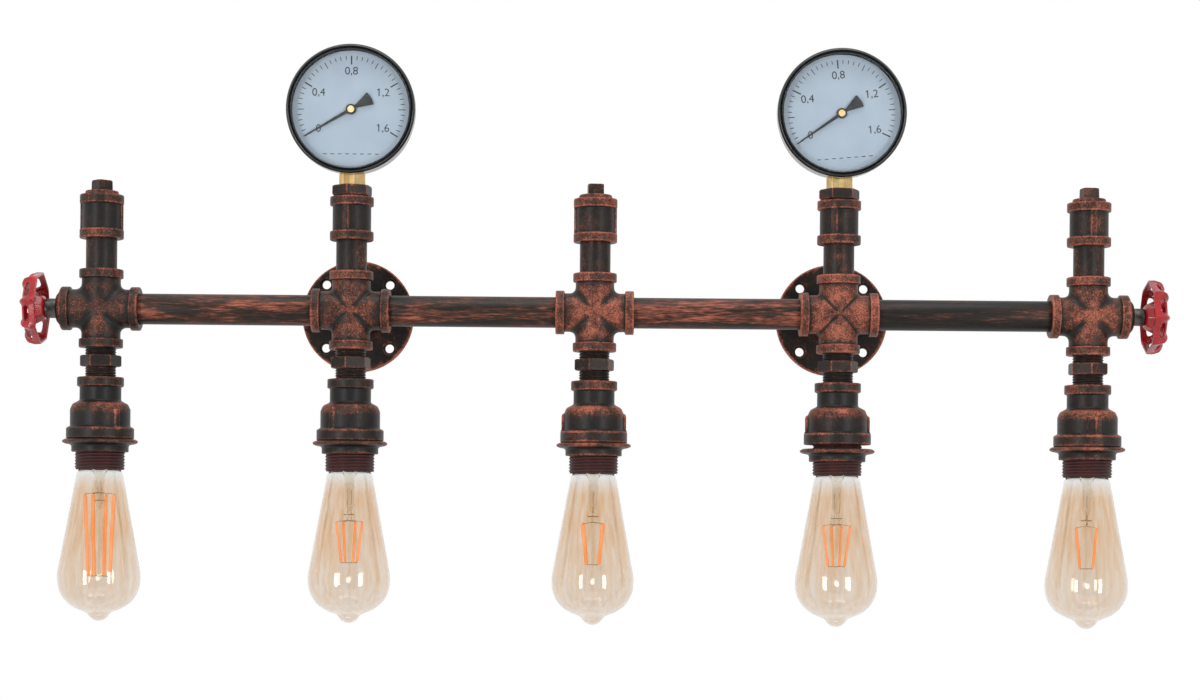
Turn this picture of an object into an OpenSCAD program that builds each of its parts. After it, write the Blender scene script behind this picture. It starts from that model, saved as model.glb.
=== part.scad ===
// Five-light wall lamp made of pipe fittings, with two pressure gauges and two handwheels.
// X runs along the rail to the right, Y points into the wall and Z points up.
// The origin is on the wall, midway between the two wall flanges, level with the rail.

/* [Rail] */
// Distance from the middle lamp to each lamp on a wall flange
inner_pitch = 190; // [160:1:240]
// Distance from each lamp on a flange to the end lamp beside it
outer_pitch = 195; // [160:1:240]
// Distance from the wall to the axis of the rail
wall_gap = 60; // [56:1:80]
// Outer diameter of the pipes and of the pipe threads
pipe_d = 24; // [22:0.5:26]
// Wall of the pipes
pipe_wall = 2.4; // [1.5:0.1:3]
// Length of pipe that is screwed into each fitting
thread_in = 13; // [10:0.5:14.5]
// Radial clearance between a thread and its fitting
thread_gap = 0.15; // [0.05:0.05:0.3]

/* [Cast fittings] */
// Distance from the middle of a cross to each of its mouths
cross_reach = 30.5; // [29:0.5:36]
// Wall of the crosses and couplings
cast_wall = 2.85; // [2:0.05:4]
// Bore of a cross between its threads
core_d = 21; // [16:0.5:22]
// How far the bead round each mouth stands out
bead_rise = 2; // [1:0.1:3]
// Width of those beads
bead_w = 7.5; // [5:0.5:9]
// Radius of the corner between two arms of a cross
corner_r = 6; // [3:0.5:6.5]
// Thickness of the web in that corner
web_t = 8; // [4:0.5:12]
// Chamfer on the outer edge of a mouth
edge = 0.8; // [0.3:0.1:0.9]

/* [Risers, couplings and plugs] */
// Length of riser that shows between a cross and its coupling
riser_show = 24; // [10:1:60]
// Length of a coupling
coupling_len = 34; // [32:0.5:50]
// Width of the ribs along couplings and reducers
rib_w = 4; // [2:0.5:6]
// Length of a plug or bushing that is screwed into a coupling
plug_in = 10; // [6:0.5:13]
// Height of the round shoulder of a plug
plug_shoulder_h = 3.5; // [2:0.5:6]
// Side of the square head of a plug
plug_square = 12; // [8:0.5:15]
// Height of that head
plug_head_h = 8; // [5:0.5:14]

/* [Hexagon fittings] */
// Size across the flats of the hexagons
hex_af = 27.5; // [27:0.5:32]
// Height of the hexagon on a gauge bushing
bushing_hex_h = 8.7; // [5:0.1:14]
// Thread that shows between a cross and the hexagon below it
nipple_top_show = 6; // [3:0.5:12]
// Height of the hexagon on a hexagon nipple
nipple_hex_h = 8.6; // [5:0.1:14]
// Thread that shows between that hexagon and the reducer
nipple_low_show = 8.4; // [3:0.1:14]
// Bore of a hexagon nipple
nipple_bore = 15; // [12:0.5:17]
// Pitch of the pipe thread
pipe_pitch = 2; // [1.6:0.1:2.6]
// Depth of the pipe thread
pipe_thread_h = 0.7; // [0.4:0.1:1]

/* [Reducers] */
// Length of a reducer
reducer_len = 48; // [46:0.5:60]
// Wall of a reducer
reducer_wall = 3.85; // [3:0.05:5]
// Length of the neck, with its bead
neck_len = 15; // [13.5:0.5:18]
// Length of the shoulder between neck and cup
shoulder_len = 10; // [8:0.5:10]
// Width of the bead round the cup
cup_bead_w = 9.5; // [6:0.5:12]
// How far that bead stands out
cup_bead_rise = 2.9; // [1.5:0.1:4]

/* [Lampholders] */
// Outer diameter of the thread on a lampholder
holder_d = 38.5; // [38:0.1:42]
// Length of a lampholder that shows below its reducer
holder_show = 24; // [20:0.5:36]
// Length of a lampholder inside its reducer
holder_in = 19; // [17:0.5:20]
// Pitch of the thread on a lampholder
holder_pitch = 2.4; // [1.8:0.1:3]
// Depth of that thread
holder_thread_h = 0.7; // [0.4:0.1:0.9]
// Thickness of the base inside a lampholder
holder_base = 6.5; // [5:0.5:8]
// Diameter of the mouth round the neck of a bulb
mouth_d = 34.4; // [33.6:0.1:35]
// Depth of that mouth
mouth_depth = 8.5; // [7.5:0.5:10]
// Clearance between a lampholder and what moves in or on it
slide_gap = 0.3; // [0.2:0.05:0.4]

/* [Shade rings] */
// Outer diameter of a shade ring
ring_d = 58; // [54:0.5:70]
// Thickness of its lip
ring_lip = 3; // [2:0.1:4]
// Outer diameter of its collar
collar_d = 44; // [43:0.5:50]
// Height of its collar
collar_h = 7; // [4:0.5:8]

/* [Bulbs] */
// Largest diameter of a bulb
bulb_d = 64; // [56:1:72]
// Length of glass that shows below a lampholder
bulb_len = 118; // [116:0.5:126]
// Depth of the widest part below the lampholder
bulb_belly = 83.5; // [78:0.5:86]
// Half angle of the straight side of the glass
bulb_taper = 10.4; // [8:0.1:11]
// Wall of the glass
glass_wall = 1; // [0.8:0.1:1.6]
// Diameter of the thread on a bulb's cap
cap_d = 26.2; // [25.6:0.1:26.4]
// Pitch of that thread
cap_pitch = 3.6; // [3:0.1:4]
// Wall of the sheet brass of caps and screw shells
brass_wall = 0.6; // [0.4:0.1:0.8]
// Length of a light filament
filament_len = 33; // [24:1:34]
// Diameter of a light filament
filament_d = 1.8; // [1.2:0.1:2.4]

/* [Gauges] */
// Outer diameter of the bezel
bezel_d = 100; // [96:1:110]
// Width of the bezel that shows from the front
bezel_face = 4.75; // [4:0.25:6]
// Wall of the bezel
bezel_wall = 2; // [1.4:0.1:2.4]
// Depth of the bezel
bezel_depth = 11; // [8:0.5:14]
// Depth of the whole gauge
gauge_depth = 32; // [30:1:40]
// Distance from the front of the bezel back to the axis of the stem
gauge_front = 20; // [19:0.5:21]
// Wall of the case
case_wall = 1.4; // [1:0.1:2]
// Thickness of the window
window_t = 2; // [1.5:0.1:3]
// Thickness of the dial
dial_t = 0.8; // [0.5:0.1:1.2]
// Distance from the window back to the dial
dial_depth = 4.4; // [4.2:0.1:5]
// Size across the flats of the brass socket
socket_af = 17.6; // [16:0.2:22]
// Length of socket that shows between the bushing and the case
socket_show = 9.5; // [6:0.5:16]
// Length of the pointer from its axis to its tip
pointer_len = 42.6; // [30:0.2:44]
// Length of the pointer's tail
pointer_tail = 17.5; // [10:0.5:22]
// Width of the tail at its end
pointer_tail_w = 9.4; // [5:0.2:12]
// Tooth module of the movement
tooth_module = 0.4; // [0.36:0.01:0.42]

/* [Handwheels] */
// Diameter of a handwheel over its corners
wheel_d = 57; // [52:0.5:70]
// Depth of the rim
wheel_depth = 11.5; // [9:0.5:16]
// Distance from the cross to the open edge of the wheel
wheel_stand = 15.5; // [14:0.5:26]
// Thickness of the pressed sheet
sheet_t = 1.6; // [1.2:0.1:2.2]
// Diameter of the spindle
spindle_d = 13; // [10:0.5:15]
// Outer diameter of the head of an end bushing
end_head_d = 26.5; // [26:0.5:32]
// Height of that head
end_head_h = 3.5; // [2:0.5:6]
// Radial clearance of a shaft that turns in its bearing
run_gap = 0.08; // [0.04:0.01:0.1]

/* [Wall flanges] */
// Outer diameter of a wall flange
flange_d = 89; // [84:1:110]
// Thickness of its plate
flange_t = 6; // [4:0.5:8]
// Height of its hub
flange_hub_h = 12; // [8:0.5:14]
// Diameter of the circle of screw holes
screw_circle = 72; // [66:0.5:74]
// Diameter of a screw hole
screw_hole = 7; // [4:0.5:8]
// Diameter of a screw hole's countersink
screw_sink = 10.5; // [9:0.5:12]

/* [Hidden] */
$fn = 64;
lamp_x = [-inner_pitch - outer_pitch, -inner_pitch, 0, inner_pitch, inner_pitch + outer_pitch];
lamps = [0 : 4];
flange_lamps = [1, 3];
plug_lamps = [0, 2, 4];
// How far each fitting was screwed round, lamp by lamp, seen from above
coupling_turn = [0, -103, 0, -109, -87];
plug_turn = [42, 0, 5, 0, 8];
nipple_turn = [10, 20, 15, 5, 30];
reducer_turn = [-46, -121, 0, 0, -80];
bulb_turn = [10, 0, 25, 40, 15];
// How far each shade ring is screwed down from its reducer
ring_drop = [0, 0, 0, 3, 0];
overlap = 1;
contact_gap = 0.3;

// Pipes and cast fittings
thread_d = pipe_d + 2 * thread_gap;
pipe_bore = pipe_d - 2 * pipe_wall;
cast_r = thread_d / 2 + cast_wall;
coupling_z = cross_reach + riser_show;
coupling_top = coupling_z + coupling_len;
shoulder_r = cast_r - edge - overlap;

// Stack below a cross, with heights measured from the axis of the rail
nipple_show = nipple_top_show + nipple_hex_h + nipple_low_show;
reducer_top = -cross_reach - nipple_show;
reducer_end = reducer_top - reducer_len;
holder_end = reducer_end - holder_show;
neck_r = thread_d / 2 + reducer_wall;
cup_bore = holder_d + 2 * thread_gap;
cup_r = cup_bore / 2 + reducer_wall;
wire_room_step = 5;
wire_room_d = cup_bore - 2 * wire_room_step;
wire_room_h = 9;

// Lampholder and bulb, with depths measured down from the lampholder's rim
holder_len = holder_show + holder_in;
cavity_depth = holder_len - holder_base;
shell_r = cap_d / 2 + slide_gap + brass_wall;
contact_h = 3;
contact_r = 3;
cap_top = cavity_depth - contact_h - contact_gap;
cap_tip_r = 4.8;
cap_tip_h = 1.5;
cap_cone_h = 3;
cap_thread_h = 0.9;
skirt_inset = 1.5;
cap_skirt = mouth_depth - skirt_inset;
glass_in_cap = 6;
neck_glass_r = cap_d / 2 - cap_thread_h - thread_gap;
bulb_r = bulb_d / 2;
belly_steps = 4;
pip_len = 6.5;
dome_h = bulb_len - bulb_belly - pip_len;
dome_steps = 12;
dome_power = 2.3;
tip_r = 11.5;
tip_power = 0.8;
tip_steps = 5;
dome_end = dome_h * pow(1 - pow(tip_r / bulb_r, dome_power), 1 / dome_power);
taper_depth = bulb_belly - bulb_r * sin(bulb_taper);
taper_r = bulb_r * cos(bulb_taper);
mouth_glass = 3;
mouth_glass_gap = 1.6;
mouth_glass_rise = 0.5;
mouth_glass_tuck = 0.4;
mouth_glass_r = taper_r - (taper_depth - mouth_glass) * tan(bulb_taper) - mouth_glass_tuck;
stem_r = 4;
stem_end = 30;
stem_flare_h = 2;
cage_top = 38;
cage_top_r = 10;
cage_end_r = 6.2;
wire_d = 1;
support_d = 1.6;

// Gauge, with places measured from the axis of the dial and the axis of the stem
gauge_lift = bushing_hex_h + socket_show;
bezel_r = bezel_d / 2;
bezel_lip = 1.6;
case_r = bezel_r - bezel_wall - thread_gap;
case_in = case_r - case_wall;
gauge_z = coupling_top + gauge_lift + contact_gap + case_r;
window_front = -gauge_front + bezel_lip;
case_front = window_front + window_t;
case_back = -gauge_front + gauge_depth;
dial_front = case_front + dial_depth;
dial_back = dial_front + dial_t;
dial_gap = 0.6;
dial_r = case_in - dial_gap;
dial_hole = 2.2;
dial_turn = [0, 5];
zero_angle = 210;
scale_angle = 240;
shank_d = 13;
shank_len = 12;
neck_d = 12;
block_w = 16;
block_back = 6;
block_h = 14;
block_floor = -sqrt(pow(case_in, 2) - pow(block_w / 2, 2)) + contact_gap;
block_top = block_floor + block_h;
plate_t = 1.2;
plate_w = 20;
plate_top = 9;
dial_post_h = 2.2;
movement_room = 8.8;
front_plate = dial_back + dial_post_h;
back_plate = front_plate + plate_t + movement_room;
post_r = 1.5;
post_x = 7;
post_rise = 2.5;
pinion_teeth = 12;
gear_ratio = 9;
pinion_pitch_r = tooth_module * pinion_teeth / 2;
sector_pitch_r = pinion_pitch_r * gear_ratio;
sector_drop = pinion_pitch_r + sector_pitch_r;
sector_teeth = scale_angle * pinion_teeth / 360;
tooth_out = 0.85 * tooth_module;
tooth_in = 1.25 * tooth_module;
tooth_root_w = 1.6 * tooth_module;
tooth_tip_w = 0.6 * tooth_module;
arbor_d = 2.4;
gear_inset = 2;
gear_y = front_plate + plate_t + gear_inset;
pinion_h = 4;
sector_t = 2;
sector_hub_r = 3.2;
pointer_t = 0.8;
pointer_lift = 2;
pointer_y = dial_front - pointer_lift;
pointer_hub_r = 4.2;
pointer_root_w = 2.4;
pointer_tip_w = 0.5;
cap_button_r = 2.6;
cap_button_h = 1.2;
tube_r = 3;
tube_wall = 0.5;
tube_case_gap = 10.45;
tube_ring = case_in - tube_case_gap;
tube_start = -75;
tube_angle = 240;
tube_y = gear_y + pinion_h / 2;

// Handwheel, with places measured out from the mouth of its cross
wheel_r = wheel_d / 2;
wheel_ribs = 8;
wheel_turn = [-13, 0];
rim_edge = wheel_stand;
crest = wheel_stand + wheel_depth;
hub_rise = 3;
hub_face = wheel_stand - hub_rise;
hub_r = 9;
rim_flare = 7.5;
crest_out = wheel_r - rim_flare;
crest_w = 4;
crest_in = crest_out - crest_w;
bulge_inset = 1.8;
bulge_r = wheel_r - bulge_inset;
bulge_share = 0.55;
bulge_at = rim_edge + wheel_depth * bulge_share;
rib_t = 2.6;
rib_rise = 1.2;
slot_w = 4.4;
slot_len = 9;
square_shank = 8;
stud_d = 6;
nut_af = 10;
nut_h = 5;
spindle_collar_gap = 1;
spindle_collar_r = pipe_bore / 2 - spindle_collar_gap;
spindle_collar_h = 3;
end_mouth = inner_pitch + outer_pitch + cross_reach;

// Wall flange
flange_hub_rise = 3;
flange_hub_r = cast_r + flange_hub_rise;
nipple_inset = 2;
flange_nipple_len = wall_gap - cross_reach + thread_in - nipple_inset;
feed_offset = 3.5;
feed_d = 2.2;
feed_joint_d = 2.9;

function per_lamp(name) = [for (i = lamps) str(name, "_", i + 1)];
function per_side(name) = [for (side = ["left", "right"]) str(name, "_", side)];

iron = "#3a302d";
copper = "#8a4a38";
brass = "#c9a24e";
black = "#1c1c1e";
bakelite = "#4a2226";
red = "#c32f3a";
amber = "#e8cfa8";
clear = "#dfe8ee";
dial_paint = "#bccbd8";
wire_cover = "#b9b4a6";
glow = "#ff9a45";

// Moves to a lamp's own axis, at the height of the rail.
module at_lamp(i) {
  translate([lamp_x[i], -wall_gap, 0])
    children();
}

// Moves to the axis of a dial: X right, Y up and Z towards the viewer.
module at_dial(side) {
  translate([lamp_x[flange_lamps[side]], -wall_gap, gauge_z])
    rotate([90, 0, 0])
      children();
}

// Moves to the outer mouth of an end cross, with Z pointing away from the lamp.
module at_end(side) {
  way = side == 0 ? -1 : 1;
  translate([way * end_mouth, -wall_gap, 0])
    rotate([0, way * 90, 0])
      children();
}

// Moves to the middle of a wall flange, with Z pointing out of the wall.
module at_flange(side) {
  translate([lamp_x[flange_lamps[side]], 0, 0])
    rotate([90, 0, 0])
      children();
}

module tube(outer_d, inner_d, from, to) {
  translate([0, 0, from])
    difference() {
      cylinder(d = outer_d, h = to - from);
      translate([0, 0, -overlap])
        cylinder(d = inner_d, h = to - from + 2 * overlap);
    }
}

module hexagon(af, height) {
  cylinder(r = af / 2 / cos(30), h = height, $fn = 6);
}

// Half outline of a bead that ends at a mouth: out from the wall, along and chamfered in.
function bead_outline(body_r, rise, width, end) = [
  [body_r, end - width],
  [body_r + rise, end - width + rise / 2],
  [body_r + rise, end - edge],
  [body_r + rise - edge, end]
];

// One arm of a cross from the middle to its mouth, along Z.
module cross_arm() {
  rotate_extrude()
    polygon(concat(
      [[0, 0], [cast_r, 0]],
      bead_outline(cast_r, bead_rise, bead_w, cross_reach),
      [[0, cross_reach]]
    ));
}

module cross_arm_bore() {
  cylinder(d = core_d, h = cross_reach + overlap);
  translate([0, 0, cross_reach - thread_in])
    cylinder(d = thread_d, h = thread_in + overlap);
}

// Rounded web in the corner between two arms.
module corner_web() {
  rotate([90, 0, 0])
    linear_extrude(web_t, center = true)
      difference() {
        square(cast_r + corner_r);
        translate([cast_r + corner_r, cast_r + corner_r])
          circle(corner_r);
      }
}

module cross_fitting(i) {
  to_wall = len([for (k = flange_lamps) if (k == i) k]) > 0;
  arms = concat(
    [[0, 0, 0], [0, 90, 0], [0, 180, 0], [0, 270, 0]],
    to_wall ? [[-90, 0, 0]] : []
  );
  color(copper)
    at_lamp(i)
      difference() {
        union() {
          for (arm = arms)
            rotate(arm)
              cross_arm();
          for (turn = [0 : 90 : 270])
            rotate([0, turn, 0])
              corner_web();
        }
        for (arm = arms)
          rotate(arm)
            cross_arm_bore();
      }
}

module rail_pipe(i) {
  start = lamp_x[i] + cross_reach - thread_in;
  end = lamp_x[i + 1] - cross_reach + thread_in;
  color(iron)
    translate([0, -wall_gap, 0])
      rotate([0, 90, 0])
        tube(pipe_d, pipe_bore, start, end);
}

module riser_nipples() {
  color(iron)
    for (i = lamps)
      at_lamp(i)
        tube(pipe_d, pipe_bore, cross_reach - thread_in, coupling_z + thread_in);
}

// Two opposite ribs along a round body, from one height to another.
module side_ribs(body_r, rise, from, to) {
  for (turn = [0, 180])
    rotate([0, 0, turn])
      translate([body_r - overlap, -rib_w / 2, from])
        cube([rise + overlap, rib_w, to - from]);
}

module coupling() {
  half = coupling_len / 2;
  difference() {
    union() {
      for (flip = [0, 180])
        rotate([flip, 0, 0])
          rotate_extrude()
            polygon(concat(
              [[0, 0], [cast_r, 0]],
              bead_outline(cast_r, bead_rise, bead_w, half),
              [[0, half]]
            ));
      side_ribs(cast_r, bead_rise - edge / 2, -half + bead_w / 2, half - bead_w / 2);
    }
    cylinder(d = pipe_bore, h = coupling_len, center = true);
    for (flip = [0, 180])
      rotate([flip, 0, 0])
        translate([0, 0, half - thread_in])
          cylinder(d = thread_d, h = thread_in + overlap);
  }
}

module couplings() {
  color(copper)
    for (i = lamps)
      at_lamp(i)
        translate([0, 0, coupling_z + coupling_len / 2])
          rotate([0, 0, coupling_turn[i]])
            coupling();
}

module square_plugs() {
  color(iron)
    for (i = plug_lamps)
      at_lamp(i)
        translate([0, 0, coupling_top])
          rotate([0, 0, plug_turn[i]]) {
            translate([0, 0, -plug_in])
              cylinder(d = pipe_d, h = plug_in + overlap);
            cylinder(r1 = shoulder_r, r2 = shoulder_r - edge, h = plug_shoulder_h);
            translate([-plug_square / 2, -plug_square / 2, 0])
              cube([plug_square, plug_square, plug_shoulder_h + plug_head_h]);
          }
}

module gauge_bushings() {
  color(iron)
    for (i = flange_lamps)
      at_lamp(i)
        translate([0, 0, coupling_top])
          difference() {
            union() {
              hexagon(hex_af, bushing_hex_h);
              translate([0, 0, -plug_in])
                cylinder(d = pipe_d, h = plug_in + overlap);
            }
            translate([0, 0, -plug_in - overlap])
              cylinder(d = shank_d + 2 * thread_gap, h = plug_in + bushing_hex_h + 2 * overlap);
          }
}

// Outline points of a ring thread: a crest and a root for each turn, from one height up.
function thread_outline(crest_r, depth, pitch, from, turns) = [
  for (k = [0 : turns - 1])
    for (p = [[crest_r - depth, 0], [crest_r, pitch / 2]])
      [p[0], from + k * pitch + p[1]]
];

// Threaded stretch between two heights, full turns only, with plain ends.
module threaded(crest_r, depth, pitch, from, to) {
  turns = floor((to - from) / pitch);
  start = (from + to - turns * pitch) / 2;
  rotate_extrude()
    polygon(concat(
      [[0, from], [crest_r - depth, from]],
      thread_outline(crest_r, depth, pitch, start, turns),
      [[crest_r - depth, start + turns * pitch], [crest_r - depth, to], [0, to]]
    ));
}

module hex_nipples() {
  hex_top = -cross_reach - nipple_top_show;
  hex_end = hex_top - nipple_hex_h;
  top = -cross_reach + thread_in;
  end = reducer_top - thread_in;
  color(iron)
    for (i = lamps)
      at_lamp(i)
        rotate([0, 0, nipple_turn[i]])
          difference() {
            union() {
              threaded(pipe_d / 2, pipe_thread_h, pipe_pitch, end, top);
              translate([0, 0, hex_end])
                hexagon(hex_af, nipple_hex_h);
            }
            translate([0, 0, end - overlap])
              cylinder(d = nipple_bore, h = top - end + 2 * overlap);
          }
}

// Bell reducer with its top mouth at height zero and its cup below.
module reducer() {
  cup_start = -neck_len - shoulder_len;
  room_end = -reducer_len + holder_in + contact_gap;
  difference() {
    union() {
      rotate_extrude()
        polygon([
          [0, -reducer_len],
          [cup_r + cup_bead_rise - edge, -reducer_len],
          [cup_r + cup_bead_rise, -reducer_len + edge],
          [cup_r + cup_bead_rise, -reducer_len + cup_bead_w - cup_bead_rise / 2],
          [cup_r, -reducer_len + cup_bead_w],
          [cup_r, cup_start],
          [neck_r, -neck_len],
          [neck_r, -bead_w],
          [neck_r + bead_rise, -bead_w + bead_rise / 2],
          [neck_r + bead_rise, -edge],
          [neck_r + bead_rise - edge, 0],
          [0, 0]
        ]);
      side_ribs(cup_r, cup_bead_rise - edge, -reducer_len + cup_bead_w / 2, cup_start);
    }
    translate([0, 0, -thread_in])
      cylinder(d = thread_d, h = thread_in + overlap);
    translate([0, 0, room_end])
      cylinder(d = pipe_bore, h = -room_end);
    translate([0, 0, room_end - overlap])
      cylinder(d = wire_room_d, h = wire_room_h + overlap);
    translate([0, 0, -reducer_len - overlap])
      cylinder(d = cup_bore, h = holder_in + contact_gap + overlap);
  }
}

module reducers() {
  color(copper)
    for (i = lamps)
      at_lamp(i)
        translate([0, 0, reducer_top])
          rotate([0, 0, reducer_turn[i]])
            reducer();
}

module lampholder_bodies() {
  color(bakelite)
    for (i = lamps)
      at_lamp(i)
        translate([0, 0, holder_end])
          difference() {
            threaded(holder_d / 2, holder_thread_h, holder_pitch, 0, holder_len);
            translate([0, 0, -overlap])
              cylinder(d = mouth_d, h = mouth_depth + overlap);
            cylinder(r = shell_r + thread_gap, h = cavity_depth);
          }
}

module screw_shells() {
  color(brass)
    for (i = lamps)
      at_lamp(i)
        translate([0, 0, holder_end])
          tube(2 * shell_r, 2 * (shell_r - brass_wall), mouth_depth, cavity_depth);
}

module centre_contacts() {
  color(brass)
    for (i = lamps)
      at_lamp(i)
        translate([0, 0, holder_end + cavity_depth - contact_h])
          cylinder(r = contact_r, h = contact_h);
}

module shade_ring(i) {
  bore_r = holder_d / 2 + slide_gap;
  color(bakelite)
    at_lamp(i)
      translate([0, 0, reducer_end - contact_gap - ring_drop[i]])
        rotate_extrude()
          polygon([
            [bore_r, 0],
            [ring_d / 2, 0],
            [ring_d / 2, -ring_lip],
            [collar_d / 2, -ring_lip],
            [collar_d / 2, -ring_lip - collar_h + edge],
            [collar_d / 2 - edge, -ring_lip - collar_h],
            [bore_r, -ring_lip - collar_h]
          ]);
}

module wall_flange(side) {
  color(copper)
    at_flange(side)
      difference() {
        union() {
          cylinder(d = flange_d, h = flange_t);
          translate([0, 0, flange_t - overlap])
            cylinder(r1 = flange_hub_r + overlap, r2 = flange_hub_r, h = flange_hub_h + overlap);
        }
        translate([0, 0, -overlap])
          cylinder(d = thread_d, h = flange_t + flange_hub_h + 2 * overlap);
        for (turn = [45 : 90 : 315])
          rotate([0, 0, turn])
            translate([screw_circle / 2, 0, 0]) {
              sink_h = (screw_sink - screw_hole) / 2;
              translate([0, 0, -overlap])
                cylinder(d = screw_hole, h = flange_t + 2 * overlap);
              translate([0, 0, flange_t - sink_h])
                cylinder(d1 = screw_hole, d2 = screw_sink, h = sink_h);
            }
      }
}

module flange_nipples() {
  color(iron)
    for (side = [0, 1])
      at_flange(side)
        tube(pipe_d, pipe_bore, nipple_inset, nipple_inset + flange_nipple_len);
}

module end_bushings() {
  color(iron)
    for (side = [0, 1])
      at_end(side)
        difference() {
          union() {
            translate([0, 0, -thread_in])
              cylinder(d = pipe_d, h = thread_in + overlap);
            cylinder(d1 = end_head_d, d2 = end_head_d - 2 * edge, h = end_head_h);
          }
          translate([0, 0, -thread_in - overlap])
            cylinder(d = spindle_d + 2 * run_gap, h = thread_in + end_head_h + 2 * overlap);
        }
}

module gauge_cases() {
  color(black)
    for (side = [0, 1])
      difference() {
        at_dial(side)
          difference() {
            translate([0, 0, -case_back])
              cylinder(r = case_r, h = case_back - case_front);
            translate([0, 0, -case_back + case_wall])
              cylinder(r = case_in, h = case_back - case_front);
          }
        at_lamp(flange_lamps[side])
          translate([0, 0, gauge_z - case_r - overlap])
            cylinder(d = neck_d + 2 * thread_gap, h = case_r);
      }
}

module gauge_bezels() {
  opening_r = bezel_r - bezel_face;
  color(black)
    for (side = [0, 1])
      at_dial(side)
        rotate_extrude()
          polygon([
            [opening_r, gauge_front - bezel_lip],
            [opening_r, gauge_front - edge],
            [opening_r + edge, gauge_front],
            [bezel_r - edge, gauge_front],
            [bezel_r, gauge_front - edge],
            [bezel_r, gauge_front - bezel_depth],
            [bezel_r - bezel_wall, gauge_front - bezel_depth],
            [bezel_r - bezel_wall, gauge_front - bezel_lip]
          ]);
}

module gauge_windows() {
  color(clear, 0.4)
    for (side = [0, 1])
      at_dial(side)
        translate([0, 0, -case_front])
          cylinder(r = case_r, h = window_t);
}

module gauge_dials() {
  color(dial_paint)
    for (side = [0, 1])
      at_dial(side)
        translate([0, 0, -dial_back])
          difference() {
            cylinder(r = dial_r, h = dial_t);
            translate([0, 0, -overlap])
              cylinder(r = dial_hole, h = dial_t + 2 * overlap);
          }
}

module gauge_sockets() {
  hex_z = coupling_top + bushing_hex_h;
  color(brass)
    for (i = flange_lamps)
      at_lamp(i) {
        translate([0, 0, hex_z - shank_len])
          cylinder(d = shank_d, h = shank_len + overlap);
        translate([0, 0, hex_z])
          hexagon(socket_af, socket_show);
        translate([0, 0, hex_z])
          cylinder(d = neck_d, h = gauge_z + block_floor + overlap - hex_z);
        translate([-block_w / 2, front_plate, gauge_z + block_floor])
          cube([block_w, block_back - front_plate, block_h]);
      }
}

// Curved tube that starts beside the socket block and goes round above the movement.
module bourdon_tubes() {
  color(brass)
    for (side = [0, 1])
      at_dial(side)
        translate([0, 0, -tube_y])
          rotate([0, 0, tube_start])
            rotate_extrude(angle = tube_angle)
              translate([tube_ring, 0])
                difference() {
                  circle(tube_r);
                  circle(tube_r - tube_wall);
                }
}

// Front and back plate with their pillars, and the posts that carry the dial.
module movement_frames() {
  pillars = [[-post_x, block_top + post_rise], [post_x, block_top + post_rise], [0, plate_top - post_rise]];
  color(brass)
    for (side = [0, 1])
      at_dial(side)
        difference() {
          union() {
            for (y = [front_plate, back_plate])
              translate([-plate_w / 2, block_top, -y - plate_t])
                cube([plate_w, plate_top - block_top, plate_t]);
            for (p = pillars)
              translate([p[0], p[1], -back_plate - plate_t / 2])
                cylinder(r = post_r, h = back_plate - front_plate);
            for (p = [pillars[0], pillars[1]])
              translate([p[0], p[1], -front_plate - plate_t / 2])
                cylinder(r = post_r, h = front_plate + plate_t / 2 - dial_back);
          }
          for (y = [0, -sector_drop])
            translate([0, y, -back_plate - 2 * plate_t])
              cylinder(d = arbor_d + 2 * run_gap, h = back_plate - front_plate + 3 * plate_t);
        }
}

// Live and neutral wires along the rail, each with a drop to every lampholder.
module wiring() {
  drop_end = holder_end + holder_len + contact_gap;
  color(wire_cover)
    for (way = [-1, 1])
      translate([0, -wall_gap + way * feed_offset, 0]) {
        translate([lamp_x[0], 0, 0])
          rotate([0, 90, 0])
            cylinder(d = feed_d, h = lamp_x[4] - lamp_x[0]);
        for (x = lamp_x)
          translate([x, 0, 0]) {
            sphere(d = feed_joint_d);
            translate([0, 0, drop_end])
              cylinder(d = feed_d, h = -drop_end);
          }
      }
}

// Half outline of the pressed wheel: hub, dished web, crest and flared rim wall.
module wheel_outline() {
  polygon([
    [0, hub_face],
    [hub_r, hub_face],
    [crest_in, crest - sheet_t],
    [crest_out - sheet_t / 2, crest - sheet_t],
    [bulge_r - sheet_t, bulge_at],
    [wheel_r - sheet_t, rim_edge],
    [wheel_r, rim_edge],
    [bulge_r, bulge_at + sheet_t / 2],
    [crest_out, crest],
    [crest_in - sheet_t / 2, crest],
    [hub_r - sheet_t / 2, hub_face + sheet_t],
    [0, hub_face + sheet_t]
  ]);
}

// Raised rib over the crest of the wheel, in the plane through the axis.
module wheel_rib() {
  rotate([90, 0, 0])
    linear_extrude(rib_t, center = true)
      polygon([
        [wheel_r - sheet_t, rim_edge],
        [wheel_r, rim_edge],
        [bulge_r + rib_rise, bulge_at + sheet_t],
        [crest_out + rib_rise, crest + rib_rise],
        [crest_in, crest + rib_rise],
        [crest_in, crest - sheet_t],
        [crest_out - sheet_t / 2, crest - sheet_t],
        [bulge_r - sheet_t, bulge_at]
      ]);
}

// Oblong window through the shoulder of the wheel.
module wheel_slot() {
  reach = (bulge_r + crest_out) / 2;
  cut = 4 * sheet_t;
  translate([reach * cos(180 / wheel_ribs), 0, (crest + bulge_at) / 2])
    rotate([0, 45, 0])
      for (y = [-1, 1])
        translate([0, y * (slot_len - slot_w) / 2, -cut]) {
          cylinder(d = slot_w, h = 2 * cut);
          translate([-slot_w / 2, y > 0 ? -(slot_len - slot_w) : 0, 0])
            cube([slot_w, slot_len - slot_w, 2 * cut]);
        }
}

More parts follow.
